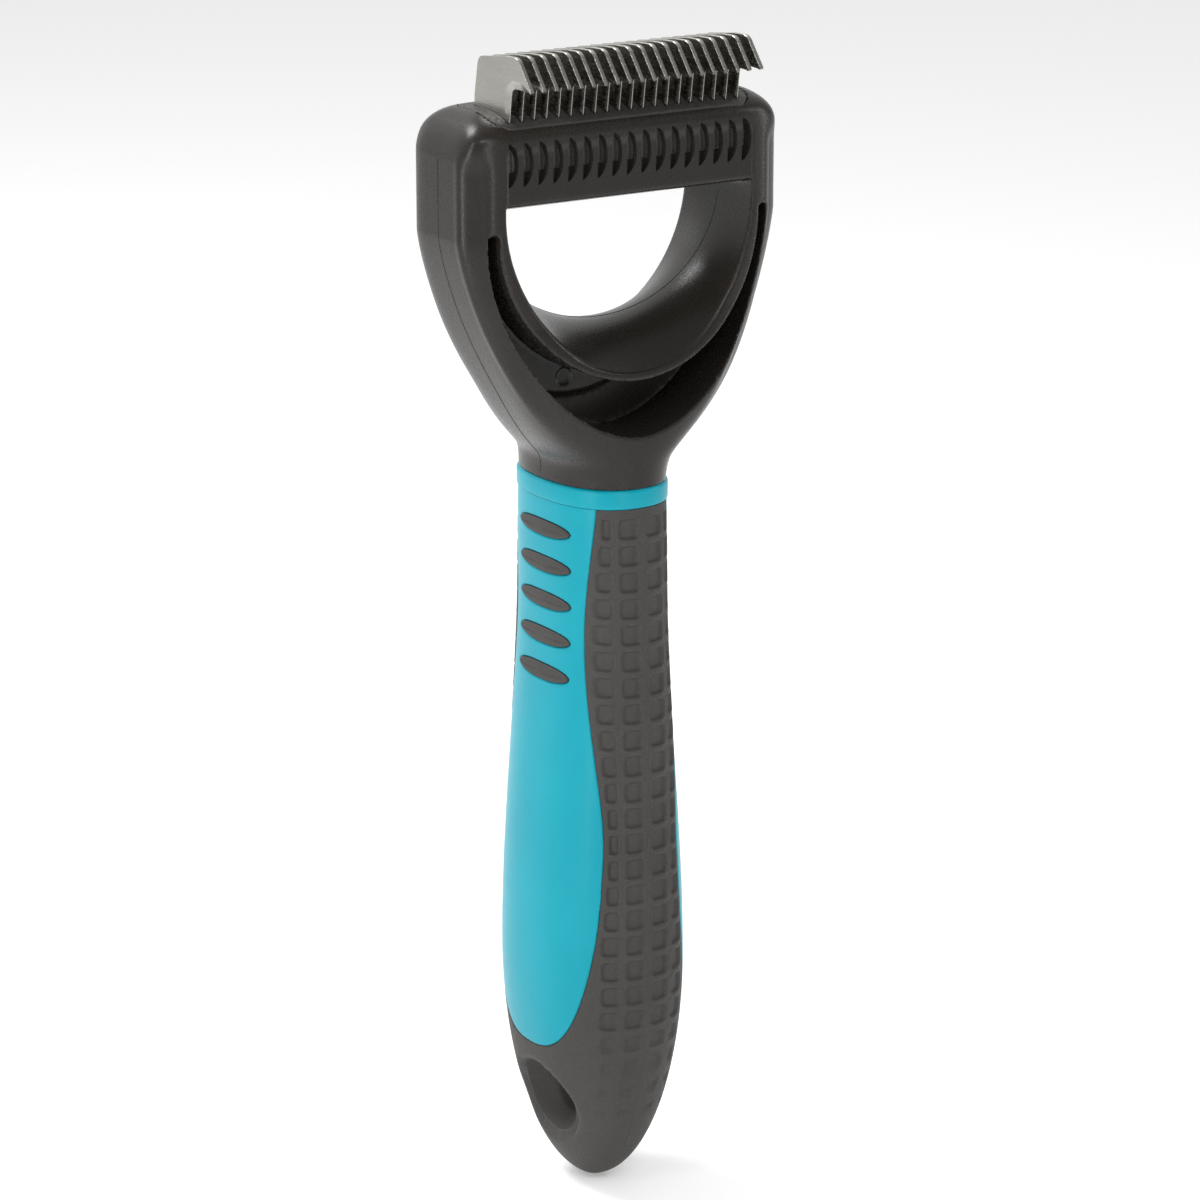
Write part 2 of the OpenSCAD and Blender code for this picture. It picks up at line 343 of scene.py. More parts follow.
def surface_of(
    rule: Callable[[Array, Array, Array], Array], low: Array, high: Array, step: float,
) -> tuple[Array, Array]:
    """Closed surface where a distance rule is zero.

    Args:
        rule: Gives the distance at arrays of x, y and z, negative inside.
        low: Lowest corner of the space to search.
        high: Highest corner.
        step: Cell size in millimetres.

    Returns:
        Points and quads.
    """
    axes = [np.arange(low[i], high[i] + step, step) for i in range(3)]
    value = rule(*np.meshgrid(*axes, indexing="ij", sparse=True))
    value = np.broadcast_to(value, [len(a) for a in axes]).astype(np.float32)
    inside = value < 0
    cells = np.zeros([n - 1 for n in value.shape], dtype=np.int8)
    for i in (0, 1):
        for j in (0, 1):
            for k in (0, 1):
                cells += inside[i:cells.shape[0] + i, j:cells.shape[1] + j, k:cells.shape[2] + k]
    ci, cj, ck = np.nonzero((cells > 0) & (cells < 8))
    number = np.full(cells.shape, -1, dtype=np.int64)
    number[ci, cj, ck] = np.arange(len(ci))
    total = np.zeros((len(ci), 3))
    count = np.zeros(len(ci))
    for axis in range(3):
        for p in (0, 1):
            for q in (0, 1):
                start = [0, 0, 0]
                start[(axis + 1) % 3] = p
                start[(axis + 2) % 3] = q
                end = list(start)
                end[axis] = 1
                a = value[ci + start[0], cj + start[1], ck + start[2]]
                b = value[ci + end[0], cj + end[1], ck + end[2]]
                crossed = (a < 0) != (b < 0)
                t = np.where(crossed, a / np.where(crossed, a - b, 1.0), 0.0)
                place = np.tile(np.array(start, dtype=float), (len(ci), 1))
                place[:, axis] = t
                total += place * crossed[:, None]
                count += crossed
    points = np.stack([ci, cj, ck], axis=1) + total / count[:, None]
    points = points * step + np.array([a[0] for a in axes])
    quads = []
    for axis in range(3):
        u, v = (axis + 1) % 3, (axis + 2) % 3
        window = [slice(1, -1)] * 3
        window[axis] = slice(0, -1)
        ahead = [slice(1, -1)] * 3
        ahead[axis] = slice(1, None)
        a = inside[tuple(window)]
        b = inside[tuple(ahead)]
        where = np.argwhere(a != b)
        leaving = a[tuple(where.T)]
        base = where.copy()
        base[:, u] += 1
        base[:, v] += 1
        corners = []
        for du, dv in ((1, 1), (0, 1), (0, 0), (1, 0)):
            cell = base.copy()
            cell[:, u] -= du
            cell[:, v] -= dv
            corners.append(number[tuple(cell.T)])
        quad = np.stack(corners, axis=1)
        quad[~leaving] = quad[~leaving][:, ::-1]
        quads.append(quad)
    for _ in range(2):
        x, y, z = points.T
        h = 0.02
        here = rule(x, y, z)
        slope = np.stack([
            (rule(x + h, y, z) - rule(x - h, y, z)) / (2 * h),
            (rule(x, y + h, z) - rule(x, y - h, z)) / (2 * h),
            (rule(x, y, z + h) - rule(x, y, z - h)) / (2 * h),
        ], axis=1)
        move = here[:, None] * slope / np.maximum((slope ** 2).sum(axis=1, keepdims=True), 0.05)
        length = np.linalg.norm(move, axis=1, keepdims=True)
        points = points - move * np.minimum(1.0, 0.35 * step / np.maximum(length, 1e-9))
    return points, np.concatenate(quads)


def row_tree() -> tuple[bpy.types.NodeTree, dict[str, str]]:
    """Geometry Nodes tree that repeats a piece in a row along X.

    Returns:
        The tree, and the socket identifier of each named input.
    """
    tree = bpy.data.node_groups.new("row_along_x", "GeometryNodeTree")
    face = tree.interface
    face.new_socket("Geometry", in_out="INPUT", socket_type="NodeSocketGeometry")
    count = face.new_socket("Count", in_out="INPUT", socket_type="NodeSocketInt")
    pitch = face.new_socket("Pitch", in_out="INPUT", socket_type="NodeSocketFloat")
    coat = face.new_socket("Material", in_out="INPUT", socket_type="NodeSocketMaterial")
    face.new_socket("Geometry", in_out="OUTPUT", socket_type="NodeSocketGeometry")
    node = tree.nodes.new
    link = tree.links.new
    given = node("NodeGroupInput")
    result = node("NodeGroupOutput")
    last = node("ShaderNodeMath")
    last.operation = "SUBTRACT"
    last.inputs[1].default_value = 1.0
    half = node("ShaderNodeMath")
    half.operation = "MULTIPLY"
    half.inputs[1].default_value = -0.5
    start = node("ShaderNodeMath")
    start.operation = "MULTIPLY"
    first = node("ShaderNodeCombineXYZ")
    step = node("ShaderNodeCombineXYZ")
    line = node("GeometryNodeMeshLine")
    line.mode = "OFFSET"
    place = node("GeometryNodeInstanceOnPoints")
    real = node("GeometryNodeRealizeInstances")
    dress = node("GeometryNodeSetMaterial")
    link(given.outputs["Count"], last.inputs[0])
    link(last.outputs[0], half.inputs[0])
    link(half.outputs[0], start.inputs[0])
    link(given.outputs["Pitch"], start.inputs[1])
    link(start.outputs[0], first.inputs["X"])
    link(given.outputs["Pitch"], step.inputs["X"])
    link(given.outputs["Count"], line.inputs["Count"])
    link(first.outputs[0], line.inputs["Start Location"])
    link(step.outputs[0], line.inputs["Offset"])
    link(line.outputs["Mesh"], place.inputs["Points"])
    link(given.outputs["Geometry"], place.inputs["Instance"])
    link(place.outputs["Instances"], real.inputs["Geometry"])
    link(real.outputs["Geometry"], dress.inputs["Geometry"])
    link(given.outputs["Material"], dress.inputs["Material"])
    link(dress.outputs["Geometry"], result.inputs["Geometry"])
    return tree, {"count": count.identifier, "pitch": pitch.identifier, "material": coat.identifier}


def repeat_in_row(
    obj: bpy.types.Object, count: int, pitch: float, coat: bpy.types.Material | None,
) -> bpy.types.Object:
    """Repeats an object in a row along X and makes the row a plain mesh.

    Args:
        obj: The piece, drawn at x = 0.
        count: Number of copies.
        pitch: Spacing in millimetres.
        coat: Material of the row, or None for a cutter.

    Returns:
        The same object, now the whole row.
    """
    tree, sockets = row_tree()
    modifier = obj.modifiers.new("row", "NODES")
    modifier.node_group = tree
    modifier[sockets["count"]] = count
    modifier[sockets["pitch"]] = pitch * MM
    if coat is not None:
        modifier[sockets["material"]] = coat
    return settle(obj)


# ---------------------------------------------------------------- finishes


@dataclass(frozen=True)
class Finish:
    """A moulded or metal finish with fine procedural variation.

    Attributes:
        name: Name of the material.
        base: Linear base colour.
        tint: Linear colour that the base drifts towards in soft patches.
        roughness: Lowest and highest roughness.
        grain: Scale of the fine surface grain, in repeats a metre.
        relief: Depth of the grain in metres.
        metallic: 1 for bare metal.
        specular: Specular level.
        stretch: How much the grain is drawn out along X, Y and Z.
        specks: Share of small pale specks, from 0 to 1.
    """

    name: str
    base: tuple[float, float, float]
    tint: tuple[float, float, float]
    roughness: tuple[float, float]
    grain: float
    relief: float
    metallic: float = 0.0
    specular: float = 0.5
    stretch: tuple[float, float, float] = (1.0, 1.0, 1.0)
    specks: float = 0.0

    def build(self) -> bpy.types.Material:
        """Makes the material.

        Returns:
            The node-based material.
        """
        material = bpy.data.materials.new(self.name)
        material.use_nodes = True
        tree = material.node_tree
        node = tree.nodes.new
        link = tree.links.new
        shader = tree.nodes["Principled BSDF"]
        shader.inputs["Metallic"].default_value = self.metallic
        shader.inputs["Specular IOR Level"].default_value = self.specular
        place = node("ShaderNodeTexCoord")
        frame = node("ShaderNodeMapping")
        frame.inputs["Scale"].default_value = self.stretch
        link(place.outputs["Object"], frame.inputs["Vector"])
        soft = node("ShaderNodeTexNoise")
        soft.inputs["Scale"].default_value = 55.0
        soft.inputs["Detail"].default_value = 3.0
        fine = node("ShaderNodeTexNoise")
        fine.inputs["Scale"].default_value = self.grain
        fine.inputs["Detail"].default_value = 4.0
        fine.inputs["Roughness"].default_value = 0.6
        link(place.outputs["Object"], soft.inputs["Vector"])
        link(frame.outputs["Vector"], fine.inputs["Vector"])
        colours = node("ShaderNodeValToRGB")
        colours.color_ramp.elements[0].position = 0.35
        colours.color_ramp.elements[1].position = 0.7
        colours.color_ramp.elements[0].color = (*self.base, 1.0)
        colours.color_ramp.elements[1].color = (*self.tint, 1.0)
        link(soft.outputs["Fac"], colours.inputs["Fac"])
        last_colour = colours.outputs["Color"]
        if self.specks > 0.0:
            dots = node("ShaderNodeTexVoronoi")
            dots.inputs["Scale"].default_value = 2600.0
            link(place.outputs["Object"], dots.inputs["Vector"])
            pick = node("ShaderNodeMapRange")
            pick.inputs["From Min"].default_value = 0.16
            pick.inputs["From Max"].default_value = 0.08
            pick.inputs["To Max"].default_value = self.specks
            link(dots.outputs["Distance"], pick.inputs["Value"])
            mix = node("ShaderNodeMix")
            mix.data_type = "RGBA"
            mix.inputs["B"].default_value = (0.34, 0.33, 0.31, 1.0)
            link(pick.outputs["Result"], mix.inputs["Factor"])
            link(last_colour, mix.inputs["A"])
            last_colour = mix.outputs["Result"]
        link(last_colour, shader.inputs["Base Color"])
        polish = node("ShaderNodeMapRange")
        polish.inputs["From Min"].default_value = 0.3
        polish.inputs["From Max"].default_value = 0.7
        polish.inputs["To Min"].default_value = self.roughness[0]
        polish.inputs["To Max"].default_value = self.roughness[1]
        link(fine.outputs["Fac"], polish.inputs["Value"])
        link(polish.outputs["Result"], shader.inputs["Roughness"])
        bump = node("ShaderNodeBump")
        bump.inputs["Distance"].default_value = self.relief
        bump.inputs["Strength"].default_value = 0.8
        link(fine.outputs["Fac"], bump.inputs["Height"])
        link(bump.outputs["Normal"], shader.inputs["Normal"])
        return material


SATIN_ABS = Finish(
    "satin_abs", (0.014, 0.012, 0.01), (0.019, 0.016, 0.014), (0.22, 0.34), 2600.0, 2.5e-5, specular=0.25,
)
HOLDER_ABS = Finish(
    "holder_abs", (0.022, 0.02, 0.018), (0.042, 0.038, 0.035), (0.36, 0.6), 1900.0, 1.2e-4, specks=0.4,
)
TURQUOISE = Finish(
    "turquoise_pp", (0.0, 0.26, 0.335), (0.0, 0.285, 0.36), (0.3, 0.36), 420.0, 3e-6, specular=0.2,
)
SOFT_GRIP = Finish(
    "soft_grip", (0.037, 0.035, 0.032), (0.045, 0.042, 0.039), (0.55, 0.75), 3200.0, 6e-5,
    specular=0.35, specks=0.18,
)
STRIP_STEEL = Finish(
    "strip_steel", (0.36, 0.35, 0.32), (0.4, 0.39, 0.36), (0.22, 0.3), 1500.0, 1.5e-6,
    metallic=1.0, stretch=(1.0, 0.12, 1.0),
)
ROD_STEEL = Finish(
    "rod_steel", (0.5, 0.5, 0.5), (0.58, 0.58, 0.57), (0.3, 0.45), 1200.0, 6e-6,
    metallic=1.0, stretch=(0.1, 1.0, 1.0),
)


# ---------------------------------------------------------------- the grip's form


@dataclass
class GripForm:
    """Outer form that the core and the skin of the grip share.

    Attributes:
        lift: Height of the collar's top edge in the frame.
        collar_w: Width at the collar.
        collar_d: Depth at the collar.
        waist_w: Width at the waist.
        waist_z: Height of the waist.
        belly_w: Greatest width.
        belly_d: Greatest depth.
        belly_z: Height of the widest place.
        cap_h: Height of the round end.
        squareness: Squareness of every section.
        panel_top: Depth of a side panel at its top.
        panel_waist: Depth of a side panel at its narrowest place.
        panel_belly: Depth of a side panel at its widest place.
        panel_end: Height of the panel's round end.
        ring_h: Height of the collar ring above the core and the skin.
        lip: Radius of both edges along the panels' outline.
        groove: How steeply the surfaces fall away under each other past that edge.
    """

    lift: float
    collar_w: float = 20.4
    collar_d: float = 29.8
    waist_w: float = 19.8
    waist_z: float = -20.0
    belly_w: float = 27.1
    belly_d: float = 35.0
    belly_z: float = -84.0
    cap_h: float = 41.7
    squareness: float = 2.3
    panel_top: float = 24.2
    panel_waist: float = 20.6
    panel_belly: float = 29.8
    panel_end: float = -99.0
    ring_h: float = 3.3
    lip: float = 0.3
    groove: float = 2.4

    def half_width(self, z: Array) -> Array:
        """Half width at each height, down to the end of the round cap."""
        upper = blend(self.waist_w, self.collar_w, 1 - z / self.waist_z)
        lower = blend(self.waist_w, self.belly_w, (z - self.waist_z) / (self.belly_z - self.waist_z))
        return np.where(z > self.waist_z, upper, lower) / 2 * self.cap(z)

    def half_depth(self, z: Array) -> Array:
        """Half depth at each height, down to the end of the round cap."""
        swell = np.sin(np.pi / 2 * np.clip(z / self.belly_z, 0, 1))
        return (self.collar_d + (self.belly_d - self.collar_d) * swell) / 2 * self.cap(z)

    def cap(self, z: Array) -> Array:
        """Share of the full section that the round end leaves at each height."""
        t = np.clip((self.belly_z - z) / self.cap_h, 0.0, 0.9999)
        return np.sqrt(1 - t * t)

    def panel_half(self, z: Array) -> Array:
        """Half depth of a side panel at each height, 0 below its round end."""
        narrow = self.waist_z - 4
        wide = self.panel_end + 36
        upper = blend(self.panel_waist, self.panel_top, 1 - z / narrow) / 2
        lower = blend(self.panel_waist, self.panel_belly, (narrow - z) / (narrow - wide)) / 2
        t = np.clip((wide - z) / (wide - self.panel_end), 0.0, 1.0)
        end = self.panel_belly / 2 * (1 - t ** 2.7) ** 0.37
        return np.where(z > narrow, upper, np.where(z > wide, lower, end))

    def outline(self, samples: int = 700) -> Array:
        """Points on the surface along half of a panel's outline, on the front and left side."""
        z = -3.0 + (self.panel_end + 3.0) * np.sin(np.linspace(0, np.pi / 2, samples))
        y = self.panel_half(z)
        return np.stack([self.side_x(y, z), y, z], axis=1)

    def side_x(self, y: Array, z: Array) -> Array:
        """Distance of the surface from the grip's middle at a depth and height."""
        share = np.clip(np.abs(y) / self.half_depth(z), 0.0, 1.0)
        return self.half_width(z) * (1 - share ** self.squareness) ** (1 / self.squareness)

    def quarter(self, z: float, skin_steps: Array, panel_steps: Array) -> Array:
        """Points along a quarter of a section, from the spine to the side.

        Args:
            z: Height of the section.
            skin_steps: Places of the skin's columns, 0 at the spine and 1 at the outline.
            panel_steps: Places of the panel's columns, 0 at the outline and 1 at the side.

        Returns:
            Rows of distance from the middle and depth, both positive.
        """
        a = np.linspace(0, np.pi / 2, 721)
        hw = float(self.half_width(np.array(z)))
        hd = float(self.half_depth(np.array(z)))
        x = hw * power(np.sin(a), 2 / self.squareness)
        y = hd * power(np.cos(a), 2 / self.squareness)
        arc = np.concatenate([[0.0], np.cumsum(np.hypot(np.diff(x), np.diff(y)))])
        edge_y = max(float(self.panel_half(np.array(z))), 0.46 * hd)
        edge = np.interp(-edge_y, -y, arc)
        places = np.concatenate([skin_steps * edge, edge + panel_steps[1:] * (arc[-1] - edge)])
        return np.stack([np.interp(places, arc, x), np.interp(places, arc, y)], axis=1)

    def grid(self, heights: Array, skin_steps: Array, panel_steps: Array) -> Array:
        """Rings of points on the form, one for each height.

        Args:
            heights: Heights from the top down.
            skin_steps: Places of the skin's columns in a quarter.
            panel_steps: Places of the panel's columns in a quarter.

        Returns:
            Array of rows, columns and 3 coordinates, each ring counter-clockwise from above.
        """
        rings = []
        for z in heights:
            q = self.quarter(z, skin_steps, panel_steps)
            fore, back = q[:-1], q[:0:-1]
            ring = np.concatenate([fore * [1, -1], back * [1, 1], fore * [-1, 1], back * [-1, -1]])
            rings.append(np.column_stack([ring, np.full(len(ring), z)]))
        return np.array(rings)

    def edge_drop(self, f: Array, depth: float) -> Array:
        """How far a surface sinks beside the panels' outline.

        Args:
            f: Distance from the outline, positive on the visible side.
            depth: Greatest depth on the hidden side.

        Returns:
            Depths in millimetres.
        """
        roll = self.lip - np.sqrt(np.maximum(self.lip ** 2 - np.clip(self.lip - f, 0, self.lip) ** 2, 0))
        return np.where(f > 0, roll, np.minimum(self.lip - f * self.groove, depth))

    def inside_panel(self, points: Array) -> Array:
        """Distance from a panel's outline over the surface, positive on the panel.

        Args:
            points: Array of points with 3 coordinates in its last axis.

        Returns:
            Signed distances in millimetres.
        """
        flat = np.abs(points.reshape(-1, 3) * [1, 1, 0]) + points.reshape(-1, 3) * [0, 0, 1]
        edge = self.outline()
        nearest = np.full(len(flat), 1e9)
        for part in range(0, len(flat), 20000):
            chunk = flat[part:part + 20000]
            gap = ((chunk[:, None, :] - edge[None]) ** 2).sum(axis=2).min(axis=1)
            nearest[part:part + 20000] = np.sqrt(gap)
        within = (flat[:, 1] < self.panel_half(flat[:, 2])) & (flat[:, 2] > self.panel_end)
        return np.where(within, nearest, -nearest).reshape(points.shape[:-1])


@dataclass
class Inlays:
    """Soft finger inlays on the side panels.

    Attributes:
        form: The grip that they follow.
        count: Number on each side.
        first_z: Height of the top one.
        pitch: Spacing.
        half_l: Half length.
        half_w: Half width at the middle.
        rise: Height above the panel.
        bed: Depth of the seat under the panel's surface.
    """

    form: GripForm
    count: int = 5
    first_z: float = -8.3
    pitch: float = 6.2
    half_l: float = 7.5
    half_w: float = 1.34
    rise: float = 0.34
    bed: float = 1.0

    def width_at(self, share: Array) -> Array:
        """Half width at a share of the half length."""
        return self.half_w * (1 - np.clip(np.abs(share), 0, 1) ** 2.5) ** 0.55

    def edge_distance(self, points: Array) -> Array:
        """Distance from the nearest inlay's edge, negative on an inlay."""
        nearest = np.full(points.shape[:-1], 9.0)
        for i in range(self.count):
            v = np.abs(points[..., 2] - (self.first_z - i * self.pitch))
            u = np.abs(points[..., 1]) / self.half_l
            gap = np.where(u < 1, v - self.width_at(u), np.hypot(v, (u - 1) * self.half_l))
            nearest = np.minimum(nearest, gap)
        return nearest

    def one(self, index: int, side: Side) -> tuple[Array, Faces]:
        """Points and faces of one inlay, a low pad that follows the panel.

        Args:
            index: Number of the inlay from the top.
            side: Side of the grip.

        Returns:
            Points and faces.
        """
        around = 96
        a = 2 * np.pi * np.arange(around) / around
        layers = [(0.0, -self.bed), (0.0, -0.06), (0.02, 0.05), (0.09, 0.14), (0.2, 0.2), (0.38, 0.24),
                  (0.7, self.rise), (1.0, self.rise)]
        zc = self.first_z - index * self.pitch
        rings = []
        for inset, height in layers:
            u = np.cos(a)
            y = u * (self.half_l - inset)
            v = np.sign(np.sin(a)) * self.width_at(u) * max(self.half_w - inset, 0.15) / self.half_w
            rings.append(self.lifted(y, zc + v, height, side))
        middle = self.lifted(np.array([0.0]), np.array([zc]), self.rise, side)
        under = self.lifted(np.array([0.0]), np.array([zc]), -self.bed, side)
        points = np.concatenate(rings + [middle, under])
        faces = grid_faces(len(layers), around)
        top, low = len(points) - 2, len(points) - 1
        last = (len(layers) - 1) * around
        for c in range(around):
            d = (c + 1) % around
            faces.append((last + c, last + d, top))
            faces.append((d, c, low))
        return points, faces

    def lifted(self, y: Array, z: Array, height: float, side: Side) -> Array:
        """Places on the panel, raised along its normal."""
        h = 0.05
        x = self.form.side_x(y, z)
        rise = self.form.side_x(np.abs(y) + h, z) - self.form.side_x(np.abs(y) - h, z)
        slope_y = rise / (2 * h) * np.sign(y)
        normal = np.stack([np.ones_like(y), -slope_y, np.zeros_like(y)], axis=1)
        normal /= np.linalg.norm(normal, axis=1, keepdims=True)
        place = np.stack([x, y, z], axis=1) + normal * height
        return place * [side.value, 1, 1]

    def build(self, side: Side, coat: bpy.types.Material) -> bpy.types.Object:
        points, faces = gather([self.one(i, side) for i in range(self.count)])
        name = side.name.lower()
        obj = make_object(f"inlay_pads_{name}", points, faces, self.form.lift)
        shade(obj, 60)
        return declare(obj, coat, "grip_rubber", f"grip_inlays_{name}")


def declare(obj: bpy.types.Object, coat: bpy.types.Material, slot: str, *nodes: str) -> bpy.types.Object:
    """Dresses a piece, puts it on the body and hides the nodes that it stands for.

    Args:
        obj: The piece.
        coat: Its material.
        slot: Not used.
        nodes: Nodes that it replaces.

    Returns:
        The piece.
    """
    obj.data.materials.clear()
    obj.data.materials.append(coat)
    for polygon in obj.data.polygons:
        polygon.material_index = 0
    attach(obj, "root")
    if nodes:
        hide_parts(*nodes)
    obj.data.calc_loop_triangles()
    LOG.info("%s: %d triangles", obj.name, len(obj.data.loop_triangles))
    return obj


@dataclass
class Core:
    """Coloured core of the grip, which shows as the two side panels.

    Attributes:
        form: The grip's outer form.
        inlays: The inlays let into its panels.
        depth: How far the core lies under the skin.
        end: Height of its lower end.
        seat: Depth of an inlay's seat.
    """

    form: GripForm
    inlays: Inlays
    seat: float = 0.5
    depth: float = 1.9
    end: float = -101.5

    def build(self, coat: bpy.types.Material) -> bpy.types.Object:
        heights = np.concatenate([
            np.linspace(-self.form.ring_h - 0.02, -40, 200)[:-1],
            np.linspace(-40, -90, 100)[:-1],
            np.linspace(-90, self.end, 60),
        ])
        near = np.array([0.0, 0.12, 0.26, 0.42, 0.62, 0.9]) / 11
        panel_steps = np.concatenate([near, np.linspace(1.25 / 11, 1, 46)])
        skin_steps = np.array([0, 0.2, 0.4, 0.6, 0.78, 0.88, 0.93, 0.965, 0.985, 1.0])
        grid = self.form.grid(heights, skin_steps, panel_steps)
        normals = grid_normals(grid)
        f = self.form.inside_panel(grid)
        sunk = self.form.edge_drop(f, self.depth)
        gap = self.inlays.edge_distance(grid)
        seat = self.seat * ease((0.25 - gap) / 0.3)
        grid = grid - normals * (sunk + np.where(f > 1, seat, 0))[..., None]
        rows, columns = grid.shape[:2]
        points = np.concatenate([grid.reshape(-1, 3), [[0, 0, heights[0]], [0, 0, heights[-1]]]])
        faces = grid_faces(rows, columns, flip=True)
        top, low = len(points) - 2, len(points) - 1
        for c in range(columns):
            d = (c + 1) % columns
            faces.append((c, d, top))
            faces.append(((rows - 1) * columns + d, (rows - 1) * columns + c, low))
        obj = make_object("core_body", points, faces, self.form.lift)
        shade(obj, 75)
        return declare(obj, coat, "core_plastic", "handle_core")


@dataclass
class Skin:
    """Soft skin with rows of shallow square recesses, solid round the hang hole.

    Attributes:
        form: The grip's outer form.
        wall: Thickness.
        row_n: Number of rows of recesses.
        row_z: Height of the first row's middle.
        row_pitch: Spacing of the rows.
        row_h: Height of a recess.
        inner_x: Near and far edge of the recesses beside the spine.
        outer_x: Near and far edge of the recesses beside the panel.
        recess: Depth of a recess.
        brim: Height of the soft raised edge round a recess.
        core_end: Height of the core's lower end.
        hole_z: Height of the hang hole.
        hole_r: Radius of its straight part.
        throat: Half length of its straight part.
        mouth_y: Half depth of its mouth.
        mouth_z: Half height of its mouth.
        mouth_drop: How far the mouth's middle lies below the hole's.
        mouth_x: Distance of the mouth's outer end from the grip's middle.
        spine: Height of the fine moulding line down the front and the back.
    """

    form: GripForm
    wall: float = 1.8
    row_n: int = 24
    row_z: float = -6.55
    row_pitch: float = 4.48
    row_h: float = 3.4
    inner_x: tuple[float, float] = (0.7, 4.1)
    outer_x: tuple[float, float] = (5.2, 7.9)
    recess: float = 0.5
    brim: float = 0.1
    core_end: float = -101.5
    hole_z: float = -109.5
    hole_r: float = 4.0
    throat: float = 3.9
    mouth_y: float = 8.3
    mouth_z: float = 7.2
    mouth_drop: float = 0.8
    mouth_x: float = 11.6
    spine: float = 0.14

    def recess_depth(self, grid: Array, edge: Array) -> Array:
        """Depth of the square recesses at each point.

        Args:
            grid: Points of the skin before the recesses.
            edge: Distance from the panels' outline, negative on the skin.

        Returns:
            Depths in millimetres.
        """
        x = np.abs(grid[..., 0])
        z = grid[..., 2]
        depth = np.zeros_like(x)
        brim = np.zeros_like(x)
        for row in range(self.row_n):
            zc = self.row_z - row * self.row_pitch
            near = np.abs(z - zc) < self.row_pitch
            if not near.any():
                continue
            fade = 1.0 - 0.16 * max(0, row - (self.row_n - 5))
            bound = float(self.form.side_x(self.form.panel_half(np.array(zc)), np.array(zc)))
            far = min(self.outer_x[1], bound - 0.75) if zc > -92 else self.outer_x[1] - 0.25 * (row - 19)
            for low, high in (self.inner_x, (self.outer_x[0], far)):
                half = (high - low) / 2 * (0.5 + 0.5 * fade)
                middle = (high + low) / 2
                corner = min(0.75, half * 0.7)
                gap = rounded_box_distance(x - middle, z - zc, half, self.row_h / 2 * fade, corner)
                here = self.recess * (0.4 + 0.6 * fade) * ease((0.05 - gap) / 0.34)
                raised = self.brim * fade * np.exp(-((gap - 0.26) / 0.16) ** 2)
                depth = np.where(near, np.maximum(depth, here), depth)
                brim = np.where(near, np.maximum(brim, raised), brim)
        return np.where(edge < -0.5, depth - brim, 0.0)

    def lip_drop(self, grid: Array) -> Array:
        """How far the surface rolls inwards round the mouth of the hang hole."""
        below = grid[..., 2] - self.hole_z + self.mouth_drop
        gap = oval_distance(grid[..., 1], below, self.mouth_y, self.mouth_z, 2.0)
        r = 1.3
        t = np.clip(r - gap, 0, r)
        roll = r - np.sqrt(np.maximum(r * r - t * t, 0))
        return np.where(np.abs(grid[..., 0]) > 4, np.minimum(roll, r), 0.0)

    def build(self, coat: bpy.types.Material) -> bpy.types.Object:
        low_z = self.form.belly_z - self.form.cap_h
        bend = np.arcsin(np.clip((self.form.belly_z - self.core_end) / self.form.cap_h, 0, 1))
        cap = self.form.belly_z - self.form.cap_h * np.sin(np.linspace(bend, np.pi / 2 * 0.985, 50))
        upper = np.array([2.0, 1.8, 1.66, 1.53, 1.4, 1.0, 0.47])
        steps = np.concatenate([upper, -upper[::-1]])
        bands = (self.row_z - self.row_pitch * np.arange(self.row_n)[:, None] + steps[None, :]).ravel()
        bands = bands[bands > self.core_end + 0.1]
        heights = np.concatenate([-self.form.ring_h - np.array([0.02, 0.4, 0.9]), bands, cap])
        near = np.array([0.9, 0.55, 0.3, 0.13, 0.0]) / 12
        skin_steps = np.concatenate([np.linspace(0, 1 - 1.3 / 12, 37), 1 - near])
        panel_steps = np.concatenate([[0, 0.012, 0.03, 0.06], np.linspace(0.11, 1, 13)])
        base = self.form.grid(heights, skin_steps, panel_steps)
        normals = grid_normals(base)
        f = -self.form.inside_panel(base)
        sunk = self.form.edge_drop(f, self.wall - 0.1)
        spine = self.spine * np.exp(-(base[..., 0] / 0.12) ** 2) * (base[..., 2] > -118)
        sunk = sunk + self.recess_depth(base, -f) + self.lip_drop(base) - spine
        outer = base - normals * sunk[..., None]
        rows, columns = outer.shape[:2]
        levels = np.linspace(heights[0], self.core_end, 12)
        inner = self.form.grid(levels, skin_steps, panel_steps)
        inner = inner - grid_normals(inner) * self.wall
        inner[..., 2] = levels[:, None]
        start = rows * columns
        points = np.concatenate([
            outer.reshape(-1, 3), inner.reshape(-1, 3),
            [[0, 0, low_z], [0, 0, self.core_end]],
        ])
        faces = grid_faces(rows, columns, flip=True) + grid_faces(len(levels), columns, start)
        tip, floor = len(points) - 2, len(points) - 1
        last, deep = (rows - 1) * columns, start + (len(levels) - 1) * columns
        for c in range(columns):
            d = (c + 1) % columns
            faces.append((last + d, last + c, tip))
            faces.append((deep + c, deep + d, floor))
            faces.append((c, d, start + d, start + c))
        obj = make_object("skin_grip", points, faces, self.form.lift)
        carve(obj, self.hole_cutter())
        shade(obj, 50)
        return declare(obj, coat, "grip_rubber", "grip_overmould")

